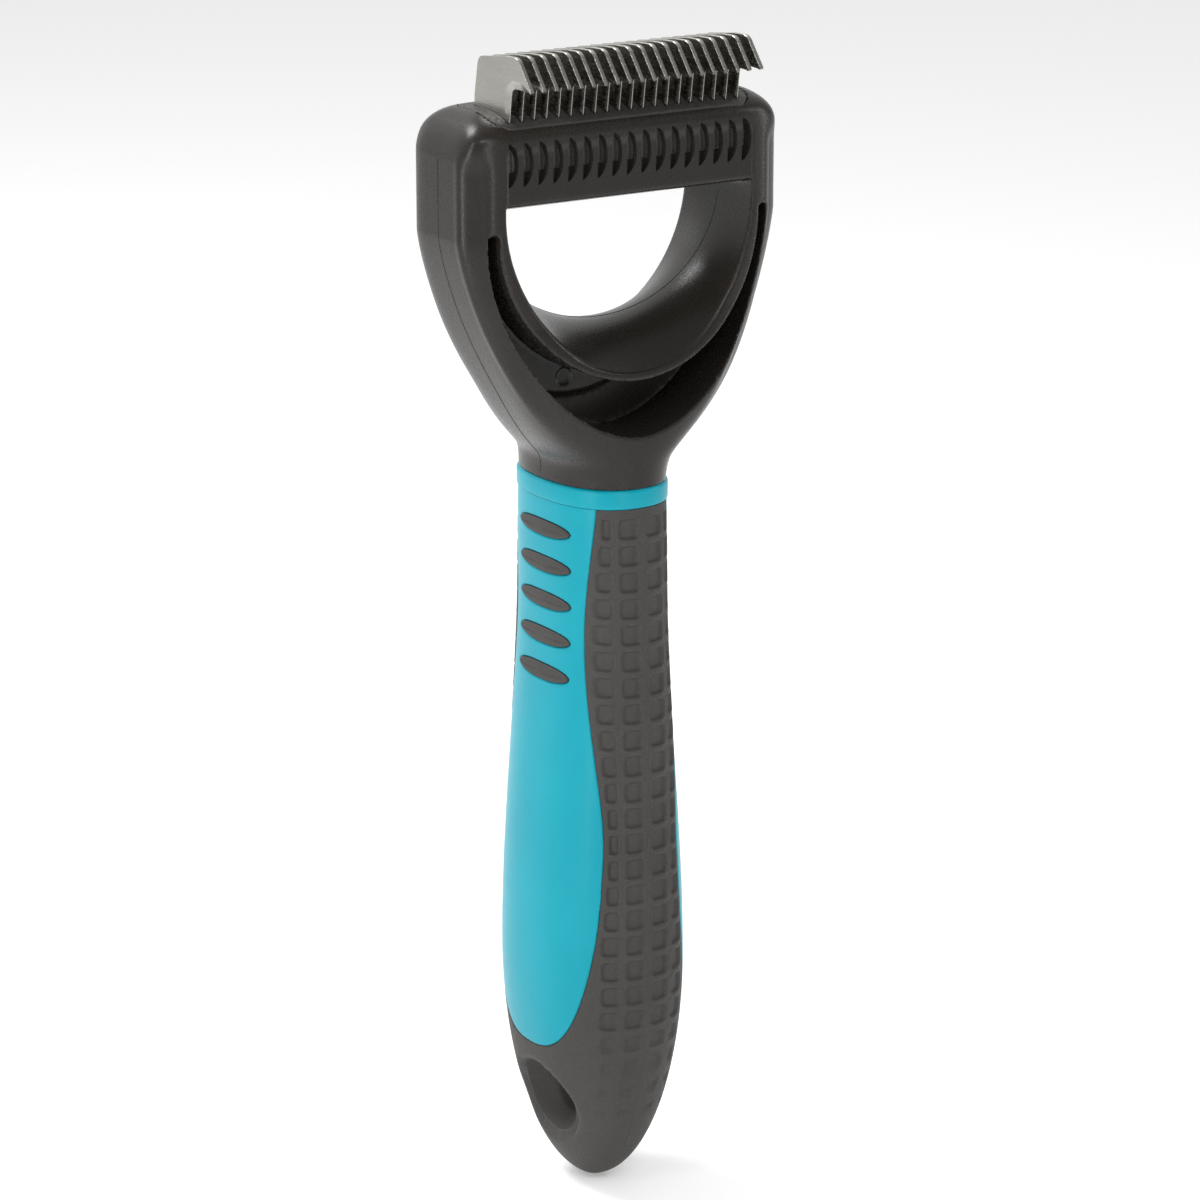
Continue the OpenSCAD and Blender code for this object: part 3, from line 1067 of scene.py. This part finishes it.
    def hole_cutter(self) -> bpy.types.Object:
        """Trumpet-shaped cutter for the hang hole and its two mouths."""
        steps = 96
        a = 2 * np.pi * np.arange(steps) / steps
        reach = np.linspace(13.6, self.throat, 18)
        share = np.sin(np.pi / 2 * np.clip((reach - self.throat) / (self.mouth_x - self.throat), 0, 1))
        half = [(x, blend_line(self.hole_r, self.mouth_y, s), blend_line(self.hole_r, self.mouth_z, s),
                 self.hole_z - self.mouth_drop * s) for x, s in zip(reach, share)]
        stations = [(-x, y, z, zc) for x, y, z, zc in half] + half[::-1]
        rings = [np.stack([np.full(steps, x), y * np.cos(a), zc + z * np.sin(a)], axis=1)
                 for x, y, z, zc in stations]
        faces = closed_rings(len(stations), steps, flip=True)
        obj = make_object("hole_cutter", np.concatenate(rings), faces, self.form.lift)
        shade(obj, 180)
        return obj


@dataclass
class CollarRing:
    """Raised band round the top of the grip.

    Attributes:
        form: The grip's outer form.
        edge_r: Radius of its upper edge.
        proud: How far it stands proud of the grip.
        wall: Its thickness.
    """

    form: GripForm
    edge_r: float = 0.55
    proud: float = 0.25
    wall: float = 3.4

    def build(self, coat: bpy.types.Material) -> bpy.types.Object:
        h, r = self.form.ring_h, self.edge_r
        profile = [(-self.wall, 0.0), (self.proud - r, 0.0)]
        turns = np.linspace(0.2, 1.57, 7)
        profile += [(self.proud - r + r * math.sin(t), -r + r * math.cos(t)) for t in turns]
        profile += [(self.proud, -h + 0.45), (self.proud - 0.05, -h + 0.24), (self.proud - 0.16, -h + 0.09),
                    (self.proud - 0.32, -h), (-self.wall, -h)]
        steps = 288
        a = 2 * np.pi * (np.arange(steps) + 0.5) / steps
        rings = []
        for out, z in profile:
            hw = self.form.collar_w / 2 + out
            hd = self.form.collar_d / 2 + out
            n = 2 / self.form.squareness
            ring = [hw * power(np.cos(a), n), hd * power(np.sin(a), n), np.full(steps, z)]
            rings.append(np.stack(ring, axis=1))
        points = np.concatenate(rings)
        faces = grid_faces(len(profile), steps, flip=True)
        last = (len(profile) - 1) * steps
        for c in range(steps):
            d = (c + 1) % steps
            faces.append((last + d, last + c, c, d))
        obj = make_object("collar_band", points, faces, self.form.lift)
        shade(obj, 35)
        return declare(obj, coat, "core_plastic", "collar_ring")


# ---------------------------------------------------------------- the head


@dataclass
class Head:
    """D-shaped head: a loop with a crescent pocket on each face, under a crossbar.

    Attributes:
        form: The grip that it stands on.
        row: The blades that it carries.
        half_w: Half width of the head.
        height: Height above the collar.
        depth: Depth, front to back.
        lead: Forward offset from the grip's middle.
        corner_r: Radius of the upper corners.
        crown_h: Height over which the top is rounded.
        bar_h: Height of the crossbar.
        bar_round: Rounding of its lower edges.
        bar_sink: How far its front lies behind the posts' front.
        post_w: Thickness of the side posts at the window.
        saddle_h: Height of the window's low point at its narrowest place.
        rim_drop: Drop of the rim below it.
        rim_t: Wall of the loop at its rim.
        slot_w: Width of the pocket's upper ends.
        pocket_h: Height of the pocket's low point.
        web_t: Thickness of the web between the pockets.
        ledge_z: Height of the low edge of the raised ledge on the web.
        ledge_t: How far the ledge stands above the web.
        flute: Depth of the shallow hollow along the posts' front corners.
        step: Cell size of the surface.
        triangles: Most triangles before the scallops are cut.
        scallop_n: Number of scallops.
        scallop_pitch: Spacing of the scallops.
        scallop_h: Height of a scallop.
        scallop_w: Width of a scallop.
        scallop_t: Depth of a scallop.
        flank: Share of the height at which the sides reach their full width.
        flank_n: Powers that shape the sides' curve.
        face_at: Shares of the height at which the front and the back reach the head's depth.
        swell: How far the front stands out low down.
        square_z: Height at which the sections are at their squarest.
        squareness: Squareness of the sections at the neck and above that height.
        crest: Height of the soft ridge behind the hollow along the posts' front corners.
        pin_x: Distance of the ejector mark from the middle.
        pin_z: Height of the ejector mark.
        pin_r: Radius of the ejector mark.
        line_r: Radius of the fine moulding lines.
    """

    form: GripForm
    row: BladeRow
    half_w: float = 30.4
    height: float = 63.2
    depth: float = 20.8
    lead: float = 2.0
    corner_r: float = 7.5
    crown_h: float = 4.2
    bar_h: float = 15.7
    bar_round: float = 4.0
    bar_sink: float = 0.45
    post_w: float = 6.7
    saddle_h: float = 26.5
    rim_drop: float = 7.1
    rim_t: float = 1.3
    slot_w: float = 1.8
    pocket_h: float = 8.8
    web_t: float = 3.0
    ledge_z: float = 14.8
    ledge_t: float = 1.4
    flute: float = 0.7
    step: float = 0.33
    triangles: int = 172000
    scallop_n: int = 17
    scallop_pitch: float = 2.8
    scallop_h: float = 7.2
    scallop_w: float = 2.0
    scallop_t: float = 1.3
    flank: float = 0.68
    flank_n: tuple[float, float] = (1.32, 0.54)
    face_at: tuple[float, float] = (0.72, 0.3)
    swell: float = 0.7
    square_z: float = 30.0
    squareness: tuple[float, float] = (2.3, 7.0)
    crest: float = 0.16
    pin_x: float = -8.6
    pin_z: float = 18.0
    pin_r: float = 1.7
    line_r: float = 0.08

    @property
    def bar_bottom(self) -> float:
        """Height of the crossbar's underside."""
        return self.height - self.bar_h

    @property
    def window_hw(self) -> float:
        """Half width of the window."""
        return self.half_w - self.post_w

    def side(self, z: Array) -> Array:
        """Half width at each height."""
        low = self.form.collar_w / 2 - 0.2
        t = np.maximum(0, 1 - z / (self.height * self.flank))
        wide = self.half_w * np.maximum(1 - t ** self.flank_n[0], 0) ** self.flank_n[1]
        joined = (low + wide + np.sqrt((low - wide) ** 2 + 1.5 ** 2)) / 2
        over = np.clip(z - (self.height - self.corner_r), 0, self.corner_r)
        return joined - (self.corner_r - np.sqrt(np.maximum(self.corner_r ** 2 - over ** 2, 0)))

    def crown(self, z: Array) -> Array:
        """Share of the rounding at the top, 0 below it and 1 at the very top."""
        t = np.clip((z - self.height + self.crown_h) / self.crown_h, 0, 1)
        return 1 - np.sqrt(1 - t * t)

    def front(self, z: Array) -> Array:
        """Distance of the front face from the grip's middle."""
        full = self.lead + self.depth / 2
        swell = self.swell * np.sin(np.pi * np.clip(z / (self.height * 0.45), 0, 1))
        face = blend(self.form.collar_d / 2, full, z / (self.height * self.face_at[0]))
        return face + swell - (full - 3) * self.crown(z)

    def back(self, z: Array) -> Array:
        """Distance of the back face from the grip's middle."""
        full = self.depth / 2 - self.lead
        face = blend(self.form.collar_d / 2, full, z / (self.height * self.face_at[1]))
        return face - (full - 2) * self.crown(z)

    def envelope(self, x: Array, y: Array, z: Array) -> Array:
        """Distance from the outer form, with soft hollows along the posts' corners."""
        zc = np.clip(z, 0, self.height)
        hw, fore, aft = self.side(zc), self.front(zc), self.back(zc)
        n = blend(*self.squareness, zc / self.square_z)
        body = oval_distance(x, y - (aft - fore) / 2, hw, (aft + fore) / 2, n)
        at_side = ease((np.abs(x) - hw + 5.0) / 2.5)
        tall = ease((z - 8) / 16) * ease((self.height - 4.5 - z) / 5)
        hollow = self.flute * np.exp(-((y + fore - 2.1) / 1.25) ** 2) * at_side * tall
        crest = self.crest * np.exp(-((y + fore - 4.4) / 0.8) ** 2) * at_side * tall
        body = body + hollow - crest
        bar = ease((self.window_hw + 0.3 - np.abs(x)) / 0.6) * ease((self.height - 5.0 - z) / 1.6)
        bar = bar * ease((z - self.bar_bottom + 4) / 2)
        body = np.maximum(body, self.bar_sink * bar - fore - y)
        return np.maximum(np.maximum(body, -z), z - self.height)

    def arch(self, x: Array, z: Array, hw: float, top: Array, low: Array, n: float) -> Array:
        """Distance from a shape with straight sides over a curved lower end, negative inside."""
        drop = np.maximum(top - z, 0)
        return oval_distance(x, drop, hw, top - low, n)

    def window(self, x: Array, y: Array, z: Array) -> Array:
        """Distance from the finger window, negative in the opening."""
        s = np.clip(np.abs(y + self.lead) / (self.depth / 2 + 1.6), 0, 1)
        low = self.saddle_h - self.rim_drop * s * s
        spring = self.bar_bottom - 0.5
        top = self.bar_bottom + self.bar_round * (1 - np.sqrt(np.maximum(1 - s ** 4, 0)))
        return round_max(self.arch(x, z, self.window_hw, spring, low, 2.0), z - top, 0.5)

    def pocket(self, x: Array, y: Array, z: Array, face: Face) -> Array:
        """Distance from the crescent pocket on one face, negative in the pocket."""
        top = self.bar_bottom - 4.2
        inner_hw = self.window_hw + self.rim_t
        outer_hw = inner_hw + self.slot_w
        inner_low = self.saddle_h - self.rim_drop - self.rim_t
        inner = self.arch(x, z, inner_hw, top, inner_low, 1.95)
        outer = self.arch(x, z, outer_hw, top, self.pocket_h, 1.82)
        crescent = np.maximum(np.maximum(outer, -inner), z - top)
        end = np.hypot(np.abs(x) - inner_hw - self.slot_w / 2, z - top) - self.slot_w / 2
        outline = np.minimum(crescent, end)
        edge_z = self.ledge_z + 0.025 * (x + 7) ** 2
        ledge = self.ledge_t * ease((z - edge_z) / 1.5 + 0.5) * ease((2.5 - x) / 1.5)
        out = face.value * (y + self.lead)
        floor = self.web_t / 2 + ledge
        pin = np.hypot(x - self.pin_x, z - self.pin_z) - self.pin_r
        floor = floor - 0.25 * ease(-pin / 0.5)
        return np.maximum(outline, floor - out)

    def rule(self, x: Array, y: Array, z: Array) -> Array:
        """Distance from the whole head, with its tang, negative in the plastic."""
        body = round_max(self.envelope(x, y, z), -self.window(x, y, z), 0.55)
        for face in Face:
            body = round_max(body, -self.pocket(x, y, z, face), 0.4)
        seat = self.holder_plan(x, y, 0.12)
        seat = np.maximum(seat, self.height - 9.5 - z)
        body = round_max(body, -seat, 0.22)
        tang = np.maximum(np.maximum(np.abs(x) - 6, np.abs(y) - 9.5), np.maximum(-24 - z, z - 4))
        return np.minimum(body, tang)

    def holder_plan(self, x: Array, y: Array, grow: float) -> Array:
        """Distance from the blade holder's plan, negative inside."""
        front = -self.lead - self.depth / 2 + 1.2
        back = 4.0
        middle, half = (front + back) / 2, (back - front) / 2
        return rounded_box_distance(x, y - middle, self.row.span / 2 + 2.6 + grow, half + grow, 3.4 + grow)

    def scallop_cutter(self) -> bpy.types.Object:
        """Row of leaf-shaped cutters, steep on the left and sloped on the right."""
        rows, deep = 40, 5
        front = -self.lead - self.depth / 2 + self.bar_sink
        zc = self.bar_bottom + 7.7
        points = []
        t = np.linspace(-1, 1, rows)
        leaf = self.scallop_w * (1 - np.abs(t) ** 2.2) ** 0.7
        left = -0.48 * self.scallop_w
        for k in range(rows):
            w = max(leaf[k], 0.03)
            depth = self.scallop_t * (w / self.scallop_w) ** 0.6
            z = zc + t[k] * self.scallop_h / 2
            points += [(left, front - 0.8, z), (left, front + depth, z), (left + 0.6 * w, front + depth, z),
                       (left + 0.9 * w, front + 0.3 * depth, z), (left + w + 0.12, front - 0.8, z)]
        faces = closed_rings(rows, deep, flip=True)
        obj = make_object("scallop_cutter", np.array(points), faces, self.form.lift)
        shade(obj, 30)
        return repeat_in_row(obj, self.scallop_n, self.scallop_pitch, None)

    def parting_lines(self) -> bpy.types.Object:
        """Fine moulding beads down both sides and round the saddle."""
        z = np.concatenate([np.linspace(1.2, 10, 24), np.linspace(10.6, self.height - self.corner_r, 60)])
        yc = (self.back(z) - self.front(z)) / 2
        paths = [np.stack([s.value * (self.side(z) - 0.02), yc, z], axis=1) for s in Side]
        a = np.radians(np.linspace(-84, 84, 90))
        spring = self.bar_bottom - 0.5
        paths.append(np.stack([
            (self.window_hw + 0.02) * np.sin(a),
            np.full(len(a), -self.lead),
            spring - (spring - self.saddle_h + 0.02) * np.cos(a),
        ], axis=1))
        points, faces = gather([tube(path, self.line_r) for path in paths])
        obj = make_object("parting_lines", points, faces, self.form.lift)
        shade(obj, 80)
        return obj

    def build(self, coat: bpy.types.Material) -> bpy.types.Object:
        low = np.array([-self.half_w - 1, -17.0, -25.2])
        high = np.array([self.half_w + 1, 17.0, self.height + 0.8])
        points, quads = surface_of(self.rule, low, high, self.step)
        obj = make_object("head_shell", points, quads, self.form.lift)
        obj.data.calc_loop_triangles()
        share = self.triangles / len(obj.data.loop_triangles)
        if share < 1:
            thin = obj.modifiers.new("thin", "DECIMATE")
            thin.ratio = share
            settle(obj)
        carve(obj, self.scallop_cutter())
        join_into(obj, self.parting_lines())
        shade(obj, 38)
        return declare(obj, coat, "head_plastic", "head_frame")


@dataclass
class Holder:
    """Insert that holds the blades, flush with the crossbar and rough round each blade.

    Attributes:
        head: The head that it sits in.
        slot_w: Width of a blade's slot.
        neck: Front and back of the slots.
        base: Depth of the insert below the head's top.
        step: Cell size of the surface.
    """

    head: Head
    slot_w: float = 0.84
    neck: tuple[float, float] = (-10.1, 0.3)
    base: float = 9.4
    step: float = 0.28

    def rule(self, x: Array, y: Array, z: Array) -> Array:
        """Distance from the insert, with uneven flash round the blades, negative inside."""
        plan = self.head.holder_plan(x, y, 0.0)
        body = np.maximum(plan, self.head.height - self.base - z)
        wave = np.sin(2.9 * x + 1.7 * y) * np.sin(3.3 * y - 1.3 * x + 0.6) + 0.6 * np.sin(7.1 * x + 2.0 * y)
        row = self.head.row
        share = x / row.pitch - 0.5
        near = np.abs(share - np.round(share)) * row.pitch
        rows = (row.count * row.pitch) / 2
        flash = 0.24 * ease((0.75 - near) / 0.5) * ease((rows - np.abs(x)) / 0.6)
        flash = flash * ease((y + 10.8) / 0.6) * ease((1.2 - y) / 0.8)
        rough = (flash + 0.035) * (0.5 + 0.5 * np.clip(wave, -1, 1))
        top = self.head.envelope(x, y, z) + 0.12 - rough
        return round_max(body, top, 0.2)

    def build(self, coat: bpy.types.Material) -> bpy.types.Object:
        h = self.head
        reach = h.row.span / 2 + 4
        low = np.array([-reach, -12.5, h.height - self.base - 0.6])
        high = np.array([reach, 5.0, h.height + 0.7])
        points, quads = surface_of(self.rule, low, high, self.step)
        obj = make_object("holder_insert", points, quads, h.form.lift)
        front, back = self.neck
        w = self.slot_w / 2
        box = np.array([(x, y, z) for x in (-w, w) for y in (front, back)
                        for z in (h.height - self.base + 2.2, h.height + 2)])
        faces = [(0, 1, 3, 2), (4, 6, 7, 5), (0, 4, 5, 1), (2, 3, 7, 6), (0, 2, 6, 4), (1, 5, 7, 3)]
        cutter = make_object("slot_cutter", box, faces, h.form.lift)
        shade(cutter, 20)
        carve(obj, repeat_in_row(cutter, h.row.count, h.row.pitch, None))
        carve(obj, h.scallop_cutter())
        shade(obj, 45)
        return declare(obj, coat, "head_plastic", "blade_holder")


@dataclass
class BladeRow:
    """Row of hooked blades, each ground to an edge round its throat.

    Attributes:
        lift: Height of the collar's top edge in the frame.
        count: Number of blades.
        pitch: Spacing.
        thick: Thickness of a blade.
        base_z: Height at which the blades leave the holder.
        height: Height of a blade above that.
        back_y: Depth of the back edge.
        reach: Distance from the back edge to the hooked tip.
        neck: Depth of the neck.
        tip_z: Height of the tip above the holder.
        tang_l: Length of the tang.
        grind: Width of the ground bevel round the throat.
    """

    lift: float
    count: int = 20
    pitch: float = 2.3
    thick: float = 0.7
    base_z: float = 62.0
    height: float = 10.4
    back_y: float = 0.2
    reach: float = 17.1
    neck: float = 10.2
    tip_z: float = 5.4
    tang_l: float = 6.0
    grind: float = 1.3

    @property
    def span(self) -> float:
        """Distance between the outer blades."""
        return (self.count - 1) * self.pitch

    def outline(self) -> tuple[Array, Array]:
        """Outline of a blade in depth and height.

        Returns:
            Points in order, and the width of the bevel at each point.
        """
        top = self.base_z + self.height
        tip = np.array([self.back_y - self.reach, self.base_z + self.tip_z])
        neck = self.back_y - self.neck
        fine = 0.07
        pts: list[tuple[float, float, float]] = [
            (self.back_y, self.base_z - self.tang_l, fine),
            (self.back_y, self.base_z + 1.0, fine),
            (self.back_y - 0.1, self.base_z + 3.0, fine),
        ]
        for a in np.radians(np.arange(12, 91, 13)):
            pts.append((self.back_y - 1.0 - 1.5 * (1 - math.cos(a)), top - 2.8 + 1.8 * math.sin(a), fine))
        nose = tip[0] + 4.7
        pts.append((nose + 3.0, top - 0.12, fine))
        for a in np.radians(np.arange(90, 29, -10)):
            pts.append((nose + 0.3 - 2.2 * math.cos(a), top - 2.1 + 2.1 * math.sin(a), fine))
        pts.append((tip[0] + 0.1, tip[1] + 0.3, fine))
        pts.append((tip[0], tip[1], fine))
        pts.append((tip[0] + 0.25, tip[1] - 0.2, 0.1))
        for t in np.linspace(0.12, 1, 8):
            y = tip[0] + 0.5 + t * (neck - 2.1 - tip[0] - 0.5)
            pts.append((y, tip[1] - 0.2 + 0.18 * math.sin(t * 1.9), min(self.grind, 0.25 + 1.7 * t)))
        r = 1.6
        for a in np.radians(np.arange(80, -1, -10)):
            pts.append((neck - 0.55 - r + r * math.cos(a), tip[1] - r + r * math.sin(a), self.grind))
        for t in np.linspace(0.15, 1, 6):
            z = tip[1] - r - t * (self.tip_z - r)
            pts.append((neck - 0.55 + 0.55 * t, z, self.grind * (1 - 0.25 * t)))
        pts.append((neck + 0.1, self.base_z - 0.8, 0.5))
        pts.append((neck + 0.4, self.base_z - self.tang_l, fine))
        data = np.array(pts)
        return data[:, :2], data[:, 2]

    def build(self, coat: bpy.types.Material) -> bpy.types.Object:
        edge, bevel = self.outline()
        n = len(edge)
        ahead = np.roll(edge, -1, axis=0) - np.roll(edge, 1, axis=0)
        inward = np.stack([-ahead[:, 1], ahead[:, 0]], axis=1)
        inward /= np.linalg.norm(inward, axis=1, keepdims=True)
        area = 0.5 * np.sum(edge[:, 0] * np.roll(edge[:, 1], -1) - np.roll(edge[:, 0], -1) * edge[:, 1])
        inner = edge + inward * bevel[:, None] * (1 if area > 0 else -1)
        half = self.thick / 2
        keen = np.where(bevel > 0.15, 0.05, half - 0.06)
        rings = [
            np.column_stack([np.full(n, -half), inner]),
            np.column_stack([-keen, edge]),
            np.column_stack([keen, edge]),
            np.column_stack([np.full(n, half), inner]),
        ]
        obj = make_object("blade_row", np.concatenate(rings), closed_rings(4, n), self.lift)
        shade(obj, 12)
        repeat_in_row(obj, self.count, self.pitch, coat)
        nodes = [f"blade_{i:02d}" for i in range(1, self.count + 1)]
        return declare(obj, coat, "blade_steel", *nodes)


# ---------------------------------------------------------------- the studio


@dataclass(frozen=True)
class SoftBox:
    """Soft lamp that faces the comb's middle.

    Attributes:
        name: Name of the lamp.
        place: Its place in metres.
        size: Its width and height in metres.
        watts: Its power.
    """

    name: str
    place: tuple[float, float, float]
    size: tuple[float, float]
    watts: float

    def build(self) -> None:
        """Adds the lamp to the scene."""
        data = bpy.data.lights.new(self.name, "AREA")
        data.shape = "RECTANGLE"
        data.size, data.size_y = self.size
        data.energy = self.watts
        obj = bpy.data.objects.new(self.name, data)
        aim = Vector((0.0, 0.0, 0.09)) - Vector(self.place)
        obj.location = self.place
        obj.rotation_euler = aim.to_track_quat("-Z", "Y").to_euler()
        bpy.context.scene.collection.objects.link(obj)


SOFT_BOXES = (
    SoftBox("key_box", (-0.36, -0.1, 0.19), (0.035, 0.4), 0.6),
    SoftBox("front_box", (-0.05, -0.42, 0.2), (0.05, 0.42), 0.4),
    SoftBox("rear_box", (-0.3, 0.95, 0.3), (0.15, 0.6), 0.25),
    SoftBox("top_box", (-0.28, 0.45, 0.85), (0.35, 0.35), 5.5),
    SoftBox("fill_box", (-0.35, -0.85, 0.85), (0.3, 0.3), 2.4),
    SoftBox("right_box", (0.4, -0.22, 0.25), (0.05, 0.4), 0.5),
)


@dataclass
class Studio:
    """Pale floor, soft light and the camera.

    Attributes:
        turn: Direction of view round the comb, in degrees.
        tilt: How far the camera looks down, in degrees.
        lens: Focal length in millimetres on a 36 mm sensor.
        eye: Place of the camera in metres.
        floor_z: Height of the floor in metres.
        dim: Brightness of the room in front of the comb.
        bright: Brightness of the room behind it.
    """

    floor_z: float
    dim: float = 0.34
    bright: float = 1.05
    turn: float = 33.0
    tilt: float = 16.1
    lens: float = 133.2
    eye: tuple[float, float, float] = (-0.38822, -0.60032, 0.29330)

    def camera(self) -> None:
        """Places the camera and makes it the scene's."""
        data = bpy.data.cameras.new("camera")
        data.lens = self.lens
        data.sensor_width = 36.0
        data.clip_start = 0.01
        t, p = math.radians(self.turn), math.radians(self.tilt)
        ahead = Vector((math.sin(t) * math.cos(p), math.cos(t) * math.cos(p), -math.sin(p)))
        right = Vector((math.cos(t), -math.sin(t), 0.0))
        up = right.cross(ahead)
        obj = bpy.data.objects.new("camera", data)
        turned = Matrix((right, up, -ahead)).transposed().to_4x4()
        obj.matrix_world = Matrix.Translation(Vector(self.eye)) @ turned
        bpy.context.scene.collection.objects.link(obj)
        bpy.context.scene.camera = obj

    def floor(self) -> None:
        """Makes the pale floor."""
        mesh = bpy.data.meshes.new("studio_floor")
        r, n = 6.0, 64
        turns = [2 * math.pi * i / n for i in range(n)]
        ring = [(r * math.cos(t), r * math.sin(t), self.floor_z) for t in turns]
        mesh.from_pydata(ring, [], [tuple(range(n))])
        obj = bpy.data.objects.new("studio_floor", mesh)
        bpy.context.scene.collection.objects.link(obj)
        material = bpy.data.materials.new("floor_white")
        material.use_nodes = True
        shader = material.node_tree.nodes["Principled BSDF"]
        shader.inputs["Base Color"].default_value = (0.9, 0.9, 0.9, 1)
        shader.inputs["Roughness"].default_value = 0.9
        shader.inputs["Specular IOR Level"].default_value = 0.1
        shader.inputs["Emission Color"].default_value = (1, 1, 1, 1)
        shader.inputs["Emission Strength"].default_value = 0.2
        mesh.materials.append(material)
        obj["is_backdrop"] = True

    def air(self) -> None:
        """Sets the white room, dimmer in front of the comb than behind it."""
        world = bpy.data.worlds.new("studio_air")
        world.use_nodes = True
        tree = world.node_tree
        direction = tree.nodes.new("ShaderNodeTexCoord")
        parts = tree.nodes.new("ShaderNodeSeparateXYZ")
        share = tree.nodes.new("ShaderNodeMapRange")
        share.inputs["From Min"].default_value = -0.3
        share.inputs["From Max"].default_value = 0.6
        share.inputs["To Min"].default_value = self.dim
        share.inputs["To Max"].default_value = self.bright
        tree.links.new(direction.outputs["Generated"], parts.inputs[0])
        tree.links.new(parts.outputs["Y"], share.inputs["Value"])
        tree.links.new(share.outputs["Result"], tree.nodes["Background"].inputs["Strength"])
        tree.nodes["Background"].inputs["Color"].default_value = (1, 1, 1, 1)
        bpy.context.scene.world = world

    def build(self) -> None:
        """Sets up the camera, the floor, the light and the room."""
        self.camera()
        self.floor()
        for box in SOFT_BOXES:
            box.build()
        self.air()
        bpy.context.scene.view_settings.view_transform = "Standard"


def dress_rods(coat: bpy.types.Material) -> None:
    """Gives the two tie rods their steel finish."""
    for name in ("tie_rod_front", "tie_rod_rear"):
        mesh = bpy.data.objects[name].data
        mesh.materials.clear()
        mesh.materials.append(coat)
        LOG.info("%s: dressed", name)


def main() -> None:
    """Builds every piece in order."""
    logging.basicConfig(level=logging.INFO, format="%(name)s %(message)s")
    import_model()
    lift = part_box("collar_ring")[1].z / MM
    abs_coat = SATIN_ABS.build()
    grip_coat = SOFT_GRIP.build()
    core_coat = TURQUOISE.build()
    form = GripForm(lift)
    inlays = Inlays(form)
    row = BladeRow(lift)
    head = Head(form, row)
    head.build(abs_coat)
    Holder(head).build(HOLDER_ABS.build())
    row.build(STRIP_STEEL.build())
    CollarRing(form).build(core_coat)
    Core(form, inlays).build(core_coat)
    Skin(form).build(grip_coat)
    for side in Side:
        inlays.build(side, grip_coat)
    dress_rods(ROD_STEEL.build())
    Studio(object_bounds()[0].z - 0.0002).build()


if __name__ == "__main__":
    main()
